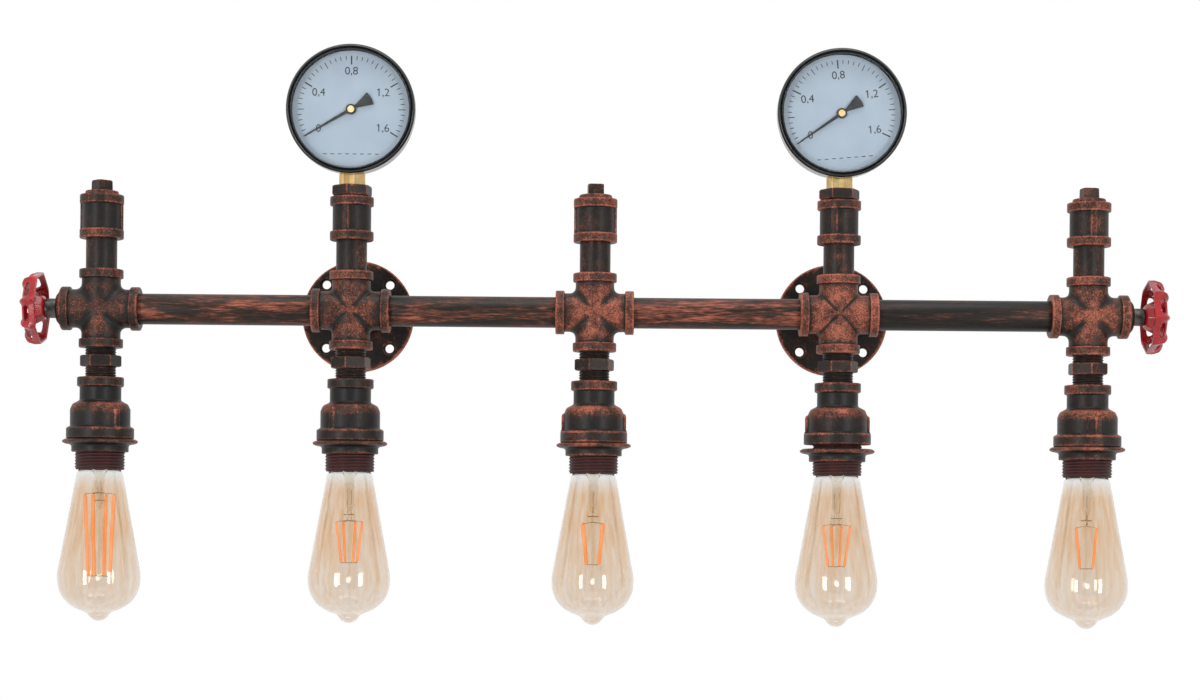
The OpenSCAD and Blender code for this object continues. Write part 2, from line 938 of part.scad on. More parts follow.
module handwheel(side) {
  step = 360 / wheel_ribs;
  hole = square_shank + 2 * thread_gap;
  color(red)
    at_end(side)
      rotate([0, 0, wheel_turn[side]])
        difference() {
          union() {
            rotate_extrude($fn = wheel_ribs)
              wheel_outline();
            for (k = [0 : wheel_ribs - 1])
              rotate([0, 0, k * step])
                wheel_rib();
          }
          for (k = [0 : wheel_ribs - 1])
            rotate([0, 0, (k + 0.5) * step])
              wheel_slot();
          translate([-hole / 2, -hole / 2, hub_face - overlap])
            cube([hole, hole, sheet_t + 2 * overlap]);
        }
}

// Spindle with its collar behind the bushing, and the nut that holds the wheel.
module spindle(side) {
  collar_face = -thread_in - contact_gap;
  nut_face = hub_face + sheet_t;
  color(black)
    at_end(side)
      rotate([0, 0, wheel_turn[side]]) {
        translate([0, 0, collar_face - spindle_collar_h])
          cylinder(r = spindle_collar_r, h = spindle_collar_h);
        translate([0, 0, collar_face - spindle_collar_h])
          cylinder(d = spindle_d, h = hub_face - collar_face + spindle_collar_h);
        translate([-square_shank / 2, -square_shank / 2, 0])
          cube([square_shank, square_shank, nut_face - contact_gap]);
        cylinder(d = stud_d, h = nut_face + nut_h);
        translate([0, 0, nut_face])
          difference() {
            hexagon(nut_af, nut_h);
            translate([0, 0, -overlap])
              cylinder(d = stud_d + 2 * thread_gap, h = nut_h + 2 * overlap);
          }
      }
}

// Pointer lying along X, with its fan-shaped tail on the other side of the hub.
module pointer(side) {
  color(black)
    at_dial(side)
      translate([0, 0, -pointer_y - pointer_t])
        rotate([0, 0, zero_angle + dial_turn[side]])
          linear_extrude(pointer_t)
            difference() {
              union() {
                circle(pointer_hub_r);
                polygon([
                  [-pointer_tail, -pointer_tail_w / 2],
                  [0, -pointer_root_w / 2],
                  [pointer_len, -pointer_tip_w / 2],
                  [pointer_len, pointer_tip_w / 2],
                  [0, pointer_root_w / 2],
                  [-pointer_tail, pointer_tail_w / 2]
                ]);
              }
              circle(arbor_d / 2 + thread_gap);
            }
}

// One gear tooth standing on X, from the root circle outwards.
module tooth(pitch_r) {
  root_r = pitch_r - tooth_in;
  polygon([
    [root_r - tooth_in / 2, -tooth_root_w / 2],
    [root_r, -tooth_root_w / 2],
    [pitch_r + tooth_out, -tooth_tip_w / 2],
    [pitch_r + tooth_out, tooth_tip_w / 2],
    [root_r, tooth_root_w / 2],
    [root_r - tooth_in / 2, tooth_root_w / 2]
  ]);
}

// Arbor with its pinion between the plates and a button over the pointer.
module pinion(side) {
  button_y = pointer_y - cap_button_h - thread_gap;
  color(brass)
    at_dial(side) {
      translate([0, 0, -back_plate - plate_t])
        cylinder(d = arbor_d, h = back_plate + plate_t - button_y);
      translate([0, 0, -button_y - cap_button_h])
        cylinder(r = cap_button_r, h = cap_button_h);
      translate([0, 0, -gear_y - pinion_h])
        linear_extrude(pinion_h) {
          circle(pinion_pitch_r - tooth_in);
          for (k = [0 : pinion_teeth - 1])
            rotate([0, 0, -90 + (k + 0.5) * 360 / pinion_teeth])
              tooth(pinion_pitch_r);
        }
    }
}

// Toothed sector on its own pivot, with the first tooth in mesh when the pointer is at zero.
module sector(side) {
  step = 360 / pinion_teeth / gear_ratio;
  arc = [for (k = [-1.5 : 1 : sector_teeth + 1.5]) 90 - k * step];
  rim_r = sector_pitch_r - tooth_in;
  color(brass)
    at_dial(side)
      translate([0, -sector_drop, 0]) {
        translate([0, 0, -back_plate - plate_t])
          cylinder(d = arbor_d, h = back_plate + plate_t - front_plate);
        translate([0, 0, -gear_y - (pinion_h + sector_t) / 2])
          linear_extrude(sector_t) {
            circle(sector_hub_r);
            polygon(concat([[0, 0]], [for (a = arc) [rim_r * cos(a), rim_r * sin(a)]]));
            for (k = [-1 : sector_teeth + 1])
              rotate([0, 0, 90 - k * step])
                tooth(sector_pitch_r);
          }
      }
}

// Radius of the glass at a depth below the belly: a blunt dome.
function dome_r(drop, radius, height) =
  radius * pow(1 - pow(drop / height, dome_power), 1 / dome_power);

// Outer half outline of the glass from the mouth of the neck down to the tip.
function glass_outline() = concat(
  [
    [neck_glass_r, cap_skirt + glass_in_cap],
    [neck_glass_r, cap_skirt - overlap],
    [mouth_d / 2 - mouth_glass_gap, mouth_glass_rise],
    [mouth_glass_r, -mouth_glass]
  ],
  [
    for (k = [belly_steps : -1 : 0])
      let (a = bulb_taper * k / belly_steps)
        [bulb_r * cos(a), -bulb_belly + bulb_r * sin(a)]
  ],
  [
    for (k = [1 : dome_steps])
      let (d = dome_end * sin(90 * k / dome_steps))
        [dome_r(d, bulb_r, dome_h), -bulb_belly - d]
  ],
  [
    for (k = [1 : tip_steps - 1])
      let (t = k / tip_steps)
        [
          tip_r * pow(1 - t, tip_power),
          -bulb_belly - dome_end - t * (bulb_len - bulb_belly - dome_end)
        ]
  ],
  [[0, -bulb_len]]
);

// Inner half outline of the glass, one wall thickness inside, from the axis back up to the neck.
function glass_inside() = let (r = bulb_r - glass_wall, h = dome_h - glass_wall) concat(
  [[0, -bulb_belly - h]],
  [
    for (k = [dome_steps - 1 : -1 : 0])
      let (d = h * sin(90 * k / dome_steps))
        [dome_r(d, r, h), -bulb_belly - d]
  ],
  [
    [taper_r - glass_wall, -taper_depth],
    [mouth_glass_r - glass_wall, -mouth_glass],
    [mouth_d / 2 - mouth_glass_gap - glass_wall, mouth_glass_rise],
    [neck_glass_r - glass_wall, cap_skirt - overlap],
    [neck_glass_r - glass_wall, cap_skirt + glass_in_cap]
  ]
);

module bulb_glass(i) {
  color(amber, 0.5)
    at_lamp(i)
      translate([0, 0, holder_end])
        rotate_extrude()
          polygon(concat(glass_outline(), glass_inside()));
}

module bulb_cap(i) {
  crest_r = cap_d / 2;
  root_r = crest_r - cap_thread_h;
  thread_end = cap_top - cap_tip_h - cap_cone_h;
  color(brass)
    at_lamp(i)
      translate([0, 0, holder_end])
        difference() {
          union() {
            threaded(crest_r, cap_thread_h, cap_pitch, cap_skirt + glass_in_cap / 2, thread_end);
            translate([0, 0, cap_skirt])
              cylinder(r = root_r + brass_wall, h = glass_in_cap);
            translate([0, 0, thread_end])
              cylinder(r1 = root_r, r2 = cap_tip_r, h = cap_cone_h);
            translate([0, 0, thread_end + cap_cone_h - overlap])
              cylinder(r = cap_tip_r, h = cap_tip_h + overlap);
          }
          translate([0, 0, cap_skirt - overlap])
            cylinder(r = root_r, h = glass_in_cap + overlap + contact_gap);
          translate([0, 0, cap_skirt + glass_in_cap])
            cylinder(r = root_r - brass_wall, h = thread_end - cap_skirt - glass_in_cap);
        }
}

// A straight rod between two points.
module rod(from, to, d) {
  way = to - from;
  length = norm(way);
  translate(from)
    rotate([0, acos(way[2] / length), atan2(way[1], way[0])])
      cylinder(d = d, h = length);
}

// Glass stem with its wires and four sloping light filaments.
module bulb_filament(i) {
  cage_end = cage_top + filament_len;
  color(glow)
    at_lamp(i)
      translate([0, 0, holder_end])
        rotate([0, 0, bulb_turn[i]]) {
          translate([0, 0, cap_skirt + glass_in_cap - stem_flare_h])
            cylinder(r = neck_glass_r - glass_wall - thread_gap, h = stem_flare_h);
          rod([0, 0, cap_skirt + glass_in_cap], [0, 0, -stem_end], 2 * stem_r);
          rod([0, 0, -stem_end + overlap], [0, 0, -cage_end], support_d);
          for (turn = [45 : 90 : 315])
            rotate([0, 0, turn]) {
              rod([0, 0, -cage_top], [cage_top_r, 0, -cage_top], wire_d);
              rod([cage_top_r, 0, -cage_top], [cage_end_r, 0, -cage_end], filament_d);
              rod([0, 0, -cage_end], [cage_end_r, 0, -cage_end], wire_d);
            }
        }
}

for (i = lamps) {
  cross_fitting(i);
  shade_ring(i);
  bulb_glass(i);
  bulb_cap(i);
  bulb_filament(i);
}
for (i = [0 : 3])
  rail_pipe(i);
for (side = [0, 1]) {
  name = side == 0 ? "left" : "right";
  wall_flange(side);
  handwheel(side);
  spindle(side);
  pointer(side);
  pinion(side);
  sector(side);
}
riser_nipples();
couplings();
square_plugs();
gauge_bushings();
hex_nipples();
reducers();
lampholder_bodies();
screw_shells();
centre_contacts();
flange_nipples();
end_bushings();
gauge_cases();
gauge_bezels();
gauge_windows();
gauge_dials();
gauge_sockets();
bourdon_tubes();
movement_frames();
wiring();
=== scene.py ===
"""Looks of a wall lamp made of pipe fittings. Lengths are in millimetres until a mesh is made."""
import math
from collections import namedtuple

import bmesh
import bpy
import numpy as np
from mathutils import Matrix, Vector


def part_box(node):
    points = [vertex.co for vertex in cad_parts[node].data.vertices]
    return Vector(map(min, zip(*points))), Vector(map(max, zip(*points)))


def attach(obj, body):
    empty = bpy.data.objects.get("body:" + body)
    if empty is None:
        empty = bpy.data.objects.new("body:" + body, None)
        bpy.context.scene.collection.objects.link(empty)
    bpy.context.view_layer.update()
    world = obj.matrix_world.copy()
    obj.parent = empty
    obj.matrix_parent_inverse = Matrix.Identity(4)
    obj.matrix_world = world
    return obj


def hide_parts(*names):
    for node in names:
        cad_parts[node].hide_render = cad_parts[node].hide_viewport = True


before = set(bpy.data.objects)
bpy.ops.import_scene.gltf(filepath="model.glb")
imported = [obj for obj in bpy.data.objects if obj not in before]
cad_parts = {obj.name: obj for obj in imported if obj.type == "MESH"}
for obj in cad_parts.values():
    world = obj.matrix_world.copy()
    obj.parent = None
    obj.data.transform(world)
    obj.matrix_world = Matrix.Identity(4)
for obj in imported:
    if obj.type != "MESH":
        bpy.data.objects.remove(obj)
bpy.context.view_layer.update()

MM = 0.001
X, Y, Z = range(3)
LAMPS = range(5)
FLANGE_LAMPS = (1, 3)
PLUG_LAMPS = (0, 2, 4)
END_LAMPS = (0, 4)
SIDES = ("left", "right")


def ends(node, axis):
    """A CAD node's lowest and highest place along an axis, in millimetres."""
    lo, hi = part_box(node)
    return lo[axis] / MM, hi[axis] / MM


def middle(node, axis):
    """The middle of a CAD node's box along an axis, in millimetres."""
    return sum(ends(node, axis)) / 2


def even_angles(count):
    """Angles that part a full turn evenly."""
    return np.arange(count) * 2 * np.pi / count


# Places and sizes that the frame gives; the rail lies at height 0
LAMP_X = [middle(f"cross_{i + 1}", X) for i in LAMPS]
RAIL = (0.0, middle("cross_1", Y), middle("cross_1", Z))
MOUTH = ends("cross_1", Z)[1] - RAIL[Z]
BEAD_R = ends("cross_1", Y)[1] - RAIL[Y]
PIPE_R = ends("rail_pipe_1", Z)[1] - RAIL[Z]
COUPLING_Z = ends("couplings", Z)
PLUG_TOP = ends("square_plugs", Z)[1]
BUSHING_TOP = ends("gauge_bushings", Z)[1]
NIPPLE_Z = ends("hex_nipples", Z)
REDUCER_Z = ends("reducers", Z)
HOLDER_Z = ends("lampholder_bodies", Z)
HOLDER_R = ends("lampholder_bodies", Y)[1] - RAIL[Y]
DIAL_Z = middle("gauge_bezels", Z)
BEZEL_R = ends("gauge_bezels", Z)[1] - DIAL_Z
BEZEL_Y = ends("gauge_bezels", Y)
CASE_R = ends("gauge_cases", Z)[1] - DIAL_Z
CASE_Y = ends("gauge_cases", Y)
DIAL_Y = ends("gauge_dials", Y)[0]
DIAL_R = ends("gauge_dials", Z)[1] - DIAL_Z
FLANGE_R = ends("wall_flange_left", Z)[1]
FLANGE_HUB = -ends("wall_flange_left", Y)[0]
BULB_TIP = ends("bulb_glass_1", Z)[0]
BULB_R = ends("bulb_glass_1", Y)[1] - RAIL[Y]
RIM = HOLDER_Z[0]

# Sizes inside those boxes, in millimetres
CAST_R = 15.0
BEAD_W = 7.5
EDGE = 0.9
PIPE_WALL = 2.4
PIPE_BORE = PIPE_R - PIPE_WALL
SOCKET_DEPTH = 13.0
SOCKET_GAP = 0.15
SOCKET_R = PIPE_R + SOCKET_GAP
RIB_W = 4.0
HEX_FLAT = 13.75
HEX_CHAMFER = 1.1
NIPPLE_HEX_Z = (-45.1, -36.5)
NIPPLE_BORE = 7.5
BUSHING_BORE = 6.7
PIPE_PITCH = 2.0
PIPE_THREAD = 0.7
HOLDER_PITCH = 2.4
HOLDER_THREAD = 0.75
SLEEVE_R = (7.7, 6.85)
# Fillet between the arms of each casting and how wide the black of its hollows is: iron that the copper
# misses, which also paints in the shade of the creases; the two that reach to the wall are crisper
CROSS_CAST = ((5.5, 4.0), (3.2, 2.2), (5.5, 4.0), (3.0, 1.3), (5.5, 4.0))
# Filaments from the mouth of the lampholder down, their thickness, the loop of wire round the stem,
# and how far the filaments' upper and lower ends stand from the axis
FILAMENT_TOP = (19, 39, 39, 39, 39)
FILAMENT_END = (83, 71, 71, 71, 71)
FILAMENT_D = (3.0, 2.0, 2.0, 2.0, 2.0)
WIRE_LOOP = (24, 33.5, 33.5, 33.5, 33.5)
FILAMENT_OUT = ((12.3, 9.0), (11.2, 6.7), (11.2, 6.7), (11.2, 6.7), (11.2, 6.7))

# How far each fitting, bulb, dial and wheel is turned about its axis, in degrees
COUPLING_TURN = (0, -103, 0, -109, -87)
PLUG_TURN = (42, 0, 5, 0, 8)
NIPPLE_TURN = (10, 20, 15, 5, 30)
REDUCER_TURN = (-46, -121, 0, 0, -80)
BULB_TURN = (32, -14, -5, 19, -12)
DIAL_TURN = (0, 5)
WHEEL_TURN = (8.5, 5.5)

# The dials' scale: the angle from the right at which it starts, and its steps clockwise, in degrees
SCALE_START = 210
SCALE_STEP = 6
SCALE_STEPS = 40

# Rub of an edge, of a bead between its edges, of a bead's inner edge, of the groove beside that
# and of the crown of an arm
EDGE_RUB = 0.8
FACE_RUB = 0.5
INNER_RUB = 0.9
GROOVE_RUB = -0.1
CROWN_RUB = 0.6
# Rub that each lamp's fittings, each cross and each rail pipe have more or less than that
LAMP_RUB = (-0.19, -0.16, -0.02, -0.08, 0.0)
CROSS_RUB = (-0.24, -0.08, 0.1, 0.12, 0.03)
PIPE_RUB = (-0.15, -0.22, -0.02, -0.5)

# Columns of a round piece, of a small one, of a gauge and of one eighth of a wheel
ROUND = 96
SMALL_ROUND = 48
GAUGE_ROUND = 144
WHEEL_STEPS = 14
TURN = even_angles(ROUND)
# Angles past which an edge is sharp: on most pieces, on crosses and wheels, and on glass
CREASE = 38
SOFT_CREASE = 50
GLASS_CREASE = 60

# Right, up and out of a piece's own frame for each way that its axis can point
WAYS = {
    "up": ((1, 0, 0), (0, 1, 0), (0, 0, 1)),
    "right": ((0, 1, 0), (0, 0, 1), (1, 0, 0)),
    "left": ((0, 0, 1), (0, 1, 0), (-1, 0, 0)),
    "wall": ((0, 0, 1), (1, 0, 0), (0, 1, 0)),
    "viewer": ((1, 0, 0), (0, 0, 1), (0, -1, 0)),
}

# A grid of points with its rub, which is about 0 in a hollow and 1 on an edge that brushing reaches.
# around joins the last column to the first, and loop the last row to the first.
Grid = namedtuple("Grid", "points rub around loop", defaults=(0.0, True, False))


def rounded(corners, closed=False, steps=6):
    """Polyline with rounded corners, as rows of across, along and rub.

    Each corner is (across, along, fillet radius, rub), and what is left out at its end is 0. A
    fillet replaces the corner by an arc that is tangent to both sides: it starts
    radius / tan(half angle) before the corner, but within half of the shorter side, and turns
    about a centre on the corner's bisector.
    """
    rows = []
    last = len(corners) - 1
    for k, (across, along, *more) in enumerate(corners):
        fillet, rub = (*more, 0, 0)[:2]
        corner = np.array([across, along], float)
        if fillet == 0 or (not closed and k in (0, last)):
            rows.append([across, along, rub])
            continue
        sides = [np.array(corners[(k + s) % len(corners)][:2], float) - corner for s in (-1, 1)]
        lengths = [np.linalg.norm(s) for s in sides]
        before, after = (s / n for s, n in zip(sides, lengths))
        half = math.acos(np.clip(before @ after, -1, 1)) / 2
        cut = min(fillet / math.tan(half), 0.49 * min(lengths))
        centre = corner + (before + after) / np.linalg.norm(before + after) * cut / math.cos(half)
        start, end = (corner + cut * s - centre for s in (before, after))
        first = math.atan2(start[1], start[0])
        sweep = (math.atan2(end[1], end[0]) - first + np.pi) % (2 * np.pi) - np.pi
        angle = first + sweep * np.linspace(0, 1, steps)
        radius = cut * math.tan(half)
        rows += np.column_stack(
            [centre[0] + radius * np.cos(angle), centre[1] + radius * np.sin(angle), np.full(steps, rub)]
        ).tolist()
    return np.array(rows)


def turned(profile, turn=0.0, limit=None, swell=0.0, rub=0.0, loop=False, count=ROUND, angle=None):
    """Surface of revolution: radius across and height along, swept once round the axis.

    limit cuts the radius to a value for each angle, as a hexagon does, swell adds to it, and
    rub is added to the profile's own. The angles are even unless they are given.
    """
    if angle is None:
        angle = even_angles(count)
    radius = np.repeat(profile[:, :1], len(angle), 1)
    if limit is not None:
        radius = np.minimum(radius, limit)
    radius = radius + swell * (radius > 0)
    way = angle + math.radians(turn)
    height = np.repeat(profile[:, 1:2], len(angle), 1)
    points = np.stack([radius * np.cos(way), radius * np.sin(way), height], -1)
    return Grid(points, np.repeat(profile[:, 2:3], len(angle), 1) + rub, loop=loop)


def spun(points, angle):
    """Points turned about the out axis: right and up are mixed by the angle's cosine and sine."""
    c, s = math.cos(angle), math.sin(angle)
    return np.concatenate([points[..., :2] @ np.array([[c, s], [-s, c]]), points[..., 2:]], -1)


def placed(grid, origin, way="up"):
    """The grid in the lamp's frame: right, up and out are scaled by the points and added to origin."""
    return grid._replace(points=np.array(origin, float) + grid.points @ np.array(WAYS[way], float))


def on_lamp(grid, i):
    """The grid on a lamp's vertical axis."""
    return placed(grid, (LAMP_X[i], *RAIL[1:]))


def polygon_limit(sides, flat, count=ROUND):
    """Radius of a regular polygon at each angle: flat / cos(angle from the nearest flat's middle)."""
    step = 2 * np.pi / sides
    return flat / np.cos((even_angles(count) + step / 2) % step - step / 2)


def screw(radius, depth, pitch, low, high, lead, rub, count=64, per_pitch=10):
    """Screw thread: the radius rises and falls with height minus turn, one wave per pitch.

    The wave is a triangle cut flat at root and crest, and it fades out over lead at each end.
    """
    height = np.linspace(low, high, int((high - low) / pitch * per_pitch) + 1)[:, None]
    angle = even_angles(count)[None]
    wave = np.abs((height / pitch - angle / (2 * np.pi)) % 1 * 2 - 1)
    crest = np.clip(1.5 * wave - 0.25, 0, 1)
    fade = np.clip(np.minimum(height - low, high - height) / lead, 0, 1)
    r = radius - depth + depth * crest * fade
    points = np.stack([r * np.cos(angle), r * np.sin(angle), height + 0 * angle], -1)
    return Grid(points, rub[0] + (rub[1] - rub[0]) * crest * fade)


def closed_thread(thread, inner_r):
    """A thread's surface closed by two end faces and a bore of the given radius."""
    caps = []
    for row in (0, -1):
        ring = thread.points[row].copy()
        ring[:, :2] *= inner_r / np.linalg.norm(ring[:, :2], axis=1, keepdims=True)
        caps.append(ring[None])
    points = np.concatenate([caps[0], thread.points, caps[1]])
    low = np.zeros((1, points.shape[1]))
    return Grid(points, np.concatenate([low, thread.rub, low]), loop=True)


def quads(rows, cols, around, loop):
    """Corner numbers of a grid's quads, row by row."""
    i = np.arange(rows if loop else rows - 1)[:, None]
    j = np.arange(cols if around else cols - 1)[None]
    a, b = i * cols, (i + 1) % rows * cols
    right = (j + 1) % cols
    return np.stack([a + j, a + right, b + right, b + j], -1).reshape(-1, 4)


def piece(name, grids, material, nodes=(), body="pipework", smooth=CREASE, thickness=None):
    """One object from grids: seams and poles are merged, faces turned outwards, edges split by angle."""
    points = np.concatenate([g.points.reshape(-1, 3) for g in grids]) * MM
    rub = np.concatenate([np.broadcast_to(g.rub, g.points.shape[:2]).ravel() for g in grids])
    starts = np.cumsum([0] + [g.points.shape[0] * g.points.shape[1] for g in grids])
    faces = [quads(*g.points.shape[:2], g.around, g.loop) + s for g, s in zip(grids, starts)]
    mesh = bpy.data.meshes.new(name)
    mesh.from_pydata(points.tolist(), [], np.concatenate(faces).tolist())
    mesh.attributes.new("rub", "FLOAT", "POINT").data.foreach_set("value", rub.astype(np.float32))
    close(mesh)
    mesh.shade_smooth()
    mesh.set_sharp_from_angle(angle=math.radians(smooth))
    dressed(name, mesh, material, nodes, body, thickness)


def close(mesh):
    """Merges points that coincide, drops faces without area and turns the rest outwards."""
    shape = bmesh.new()
    shape.from_mesh(mesh)
    bmesh.ops.remove_doubles(shape, verts=shape.verts, dist=0.004 * MM)
    bmesh.ops.dissolve_degenerate(shape, edges=shape.edges, dist=0.001 * MM)
    bmesh.ops.recalc_face_normals(shape, faces=shape.faces)
    shape.to_mesh(mesh)
    shape.free()


def dressed(name, mesh, material, nodes=(), body="pipework", thickness=None):
    """Puts a mesh into the scene with its material, its body and the CAD nodes that it stands for."""
    thing = bpy.data.objects.new(name, mesh)
    bpy.context.scene.collection.objects.link(thing)
    mesh.materials.append(material)
    if thickness is not None:
        sheet = thing.modifiers.new("sheet", "SOLIDIFY")
        sheet.thickness = thickness * MM
        sheet.offset = 0
    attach(thing, body)
    if nodes:
        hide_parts(*nodes)


def linear(code):
    """An sRGB hex colour as linear RGBA."""
    srgb = np.array([int(code[k : k + 2], 16) / 255 for k in (1, 3, 5)])
    rgb = np.where(srgb <= 0.04045, srgb / 12.92, ((srgb + 0.055) / 1.055) ** 2.4)
    return (*rgb, 1.0)


def per(size):
    """Texture scale of a pattern whose features are size millimetres apart."""
    return 1 / (size * MM)


def add(tree, kind, settings=None, links=None):
    """Adds a node. Settings are properties or input values and links feed inputs, by name or number.

    A link starts at the socket that is given, or at a node's first output that is in use.
    """
    node = tree.nodes.new("ShaderNode" + kind)
    for key, value in (settings or {}).items():
        if isinstance(key, str) and hasattr(node, key):
            setattr(node, key, value)
        else:
            node.inputs[key].default_value = value
    for key, source in (links or {}).items():
        if isinstance(source, bpy.types.Node):
            source = next(socket for socket in source.outputs if socket.enabled)
        tree.links.new(source, node.inputs[key])
    return node


def new_material(name):
    """An empty material, its node tree and the socket of Object coordinates."""
    mat = bpy.data.materials.new(name)
    mat.use_nodes = True
    tree = mat.node_tree
    tree.nodes.clear()
    return mat, tree, add(tree, "TexCoord").outputs["Object"]


# Settings that many nodes share: a value eased between two ends, or over most of a noise's range,
# a mix of colours, a product, a product that is added on, the larger of two values, and a test
EASED = {"interpolation_type": "SMOOTHSTEP"}
NOISE_EASED = {**EASED, "From Min": 0.3, "From Max": 0.7}
COLOURS = {"data_type": "RGBA"}
TIMES = {"operation": "MULTIPLY"}
WEIGHED = {"operation": "MULTIPLY_ADD"}
LARGER = {"operation": "MAXIMUM"}
EXCEEDS = {"operation": "GREATER_THAN"}


def rubbed_iron(name, stretch=(1, 1, 1), patch=18, soft=(0.1, 1.1), parts=(1.2, 1.1, 1.5), stroke=4):
    """Malleable iron, blackened in the casting sand and dry-brushed with copper paint.

    The eye sees a satin black with a fine sand grain, and speckled copper that catches on
    beads, edges and crowns and leaves the hollows black. Copper starts and is full where the
    rub plus the three noises, weighed by parts, passes their mean by soft. The sand's grain is
    about 0.3 mm, and is drawn at 1.1 mm so that it shows.
    """
    mean = sum(parts) / 2
    mat, tree, place = new_material(name)
    place = add(tree, "Mapping", {"Scale": stretch}, {"Vector": place})
    reach = add(tree, "Attribute", {"attribute_name": "rub"}).outputs["Fac"]
    broad = add(tree, "TexNoise", {"Scale": per(patch), "Detail": 2, "Roughness": 0.55}, {"Vector": place})
    brush = add(tree, "TexNoise", {"Scale": per(stroke), "Detail": 5, "Roughness": 0.65}, {"Vector": place})
    grit = add(tree, "TexNoise", {"Scale": per(1.1), "Detail": 3, "Roughness": 0.6}, {"Vector": place})
    for noise, part in zip((broad, brush, grit), parts):
        reach = add(tree, "Math", {**WEIGHED, 1: part}, {0: noise, 2: reach})
    copper_from = {"From Min": mean + soft[0], "From Max": mean + soft[1]}
    mask = add(tree, "MapRange", {**EASED, **copper_from}, {"Value": reach})
    stain_from = {"From Min": mean - 0.4, "From Max": mean + 0.5}
    stain = add(tree, "MapRange", {**EASED, **stain_from}, {"Value": reach})
    black = add(tree, "Mix", {**COLOURS, 6: linear("#161515"), 7: linear("#2d221b")}, {0: stain})
    # Painted glint: the copper is painted lighter where the rub and the sand grain are high
    share = 0.6
    painted_glint = add(tree, "Math", {**TIMES, 1: share}, {0: reach})
    painted_glint = add(tree, "Math", {**WEIGHED, 1: 0.8}, {0: grit, 2: painted_glint})
    painted_glint_from = {"From Min": share * mean + 0.5, "From Max": share * mean + 1.2}
    painted_glint = add(tree, "MapRange", {**EASED, **painted_glint_from}, {"Value": painted_glint})
    copper = add(tree, "Mix", {**COLOURS, 6: linear("#733f32"), 7: linear("#be6e58")}, {0: painted_glint})
    colour = add(tree, "Mix", COLOURS, {0: mask, 6: black, 7: copper})
    gloss = add(tree, "MapRange", {"To Min": 0.42, "To Max": 0.55}, {"Value": mask})
    metal_share = add(tree, "MapRange", {"To Min": 0.0, "To Max": 0.2}, {"Value": mask})
    height = add(tree, "Math", {**TIMES, 1: 0.6}, {0: grit})
    height = add(tree, "Math", {**WEIGHED, 1: 0.5}, {0: brush, 2: height})
    height = add(tree, "Math", {**WEIGHED, 1: 0.2}, {0: mask, 2: height})
    bump = add(tree, "Bump", {"Strength": 0.6, "Distance": 0.25 * MM}, {"Height": height})
    surface = add(tree, "BsdfPrincipled", {"IOR": 1.45, "Specular IOR Level": 0.3}, {
        "Base Color": colour, "Roughness": gloss, "Metallic": metal_share, "Normal": bump,
    })
    add(tree, "OutputMaterial", links={"Surface": surface})
    return mat


def phenolic():
    """Moulded phenolic resin: a dense red-brown with faint flow marks and a satin skin."""
    mat, tree, place = new_material("phenolic_resin")
    rub = add(tree, "Attribute", {"attribute_name": "rub"}).outputs["Fac"]
    upright = add(tree, "Mapping", {"Scale": (1, 1, 0.4)}, {"Vector": place})
    flow = add(tree, "TexNoise", {"Scale": per(9), "Detail": 5, "Roughness": 0.6}, {"Vector": upright})
    dust = add(tree, "TexNoise", {"Scale": per(0.8), "Detail": 2}, {"Vector": place})
    tone = add(tree, "Math", {**TIMES, 1: 0.7}, {0: rub})
    tone = add(tree, "Math", {**WEIGHED, 1: 0.8}, {0: flow, 2: tone})
    tone = add(tree, "Math", {**WEIGHED, 1: 0.3}, {0: dust, 2: tone})
    tone = add(tree, "MapRange", {**EASED, "From Min": 0.45, "From Max": 1.25}, {"Value": tone})
    colour = add(tree, "Mix", {**COLOURS, 6: linear("#221011"), 7: linear("#572a28")}, {0: tone})
    gloss = add(tree, "MapRange", {**NOISE_EASED, "To Min": 0.46, "To Max": 0.6}, {"Value": flow})
    bump = add(tree, "Bump", {"Strength": 0.4, "Distance": 0.06 * MM}, {"Height": dust})
    surface = add(tree, "BsdfPrincipled", {"IOR": 1.6, "Specular IOR Level": 0.25}, {
        "Base Color": colour, "Roughness": gloss, "Normal": bump,
    })
    add(tree, "OutputMaterial", links={"Surface": surface})
    return mat


def red_enamel():
    """Stoved enamel on pressed steel: a warm glossy red with a faint orange peel, in clouds of two reds."""
    mat, tree, place = new_material("red_enamel")
    peel = add(tree, "TexNoise", {"Scale": per(1.6), "Detail": 2}, {"Vector": place})
    cloud = add(tree, "TexNoise", {"Scale": per(14), "Detail": 3}, {"Vector": place})
    cloud = add(tree, "MapRange", NOISE_EASED, {"Value": cloud})
    colour = add(tree, "Mix", {**COLOURS, 6: linear("#9c0a15"), 7: linear("#bd141f")}, {0: cloud})
    gloss = add(tree, "MapRange", {**NOISE_EASED, "To Min": 0.22, "To Max": 0.32}, {"Value": peel})
    bump = add(tree, "Bump", {"Strength": 0.2, "Distance": 0.05 * MM}, {"Height": peel})
    coat = {"IOR": 1.5, "Coat Weight": 0.2, "Coat Roughness": 0.15}
    surface = add(tree, "BsdfPrincipled", coat, {"Base Color": colour, "Roughness": gloss, "Normal": bump})
    add(tree, "OutputMaterial", links={"Surface": surface})
    return mat


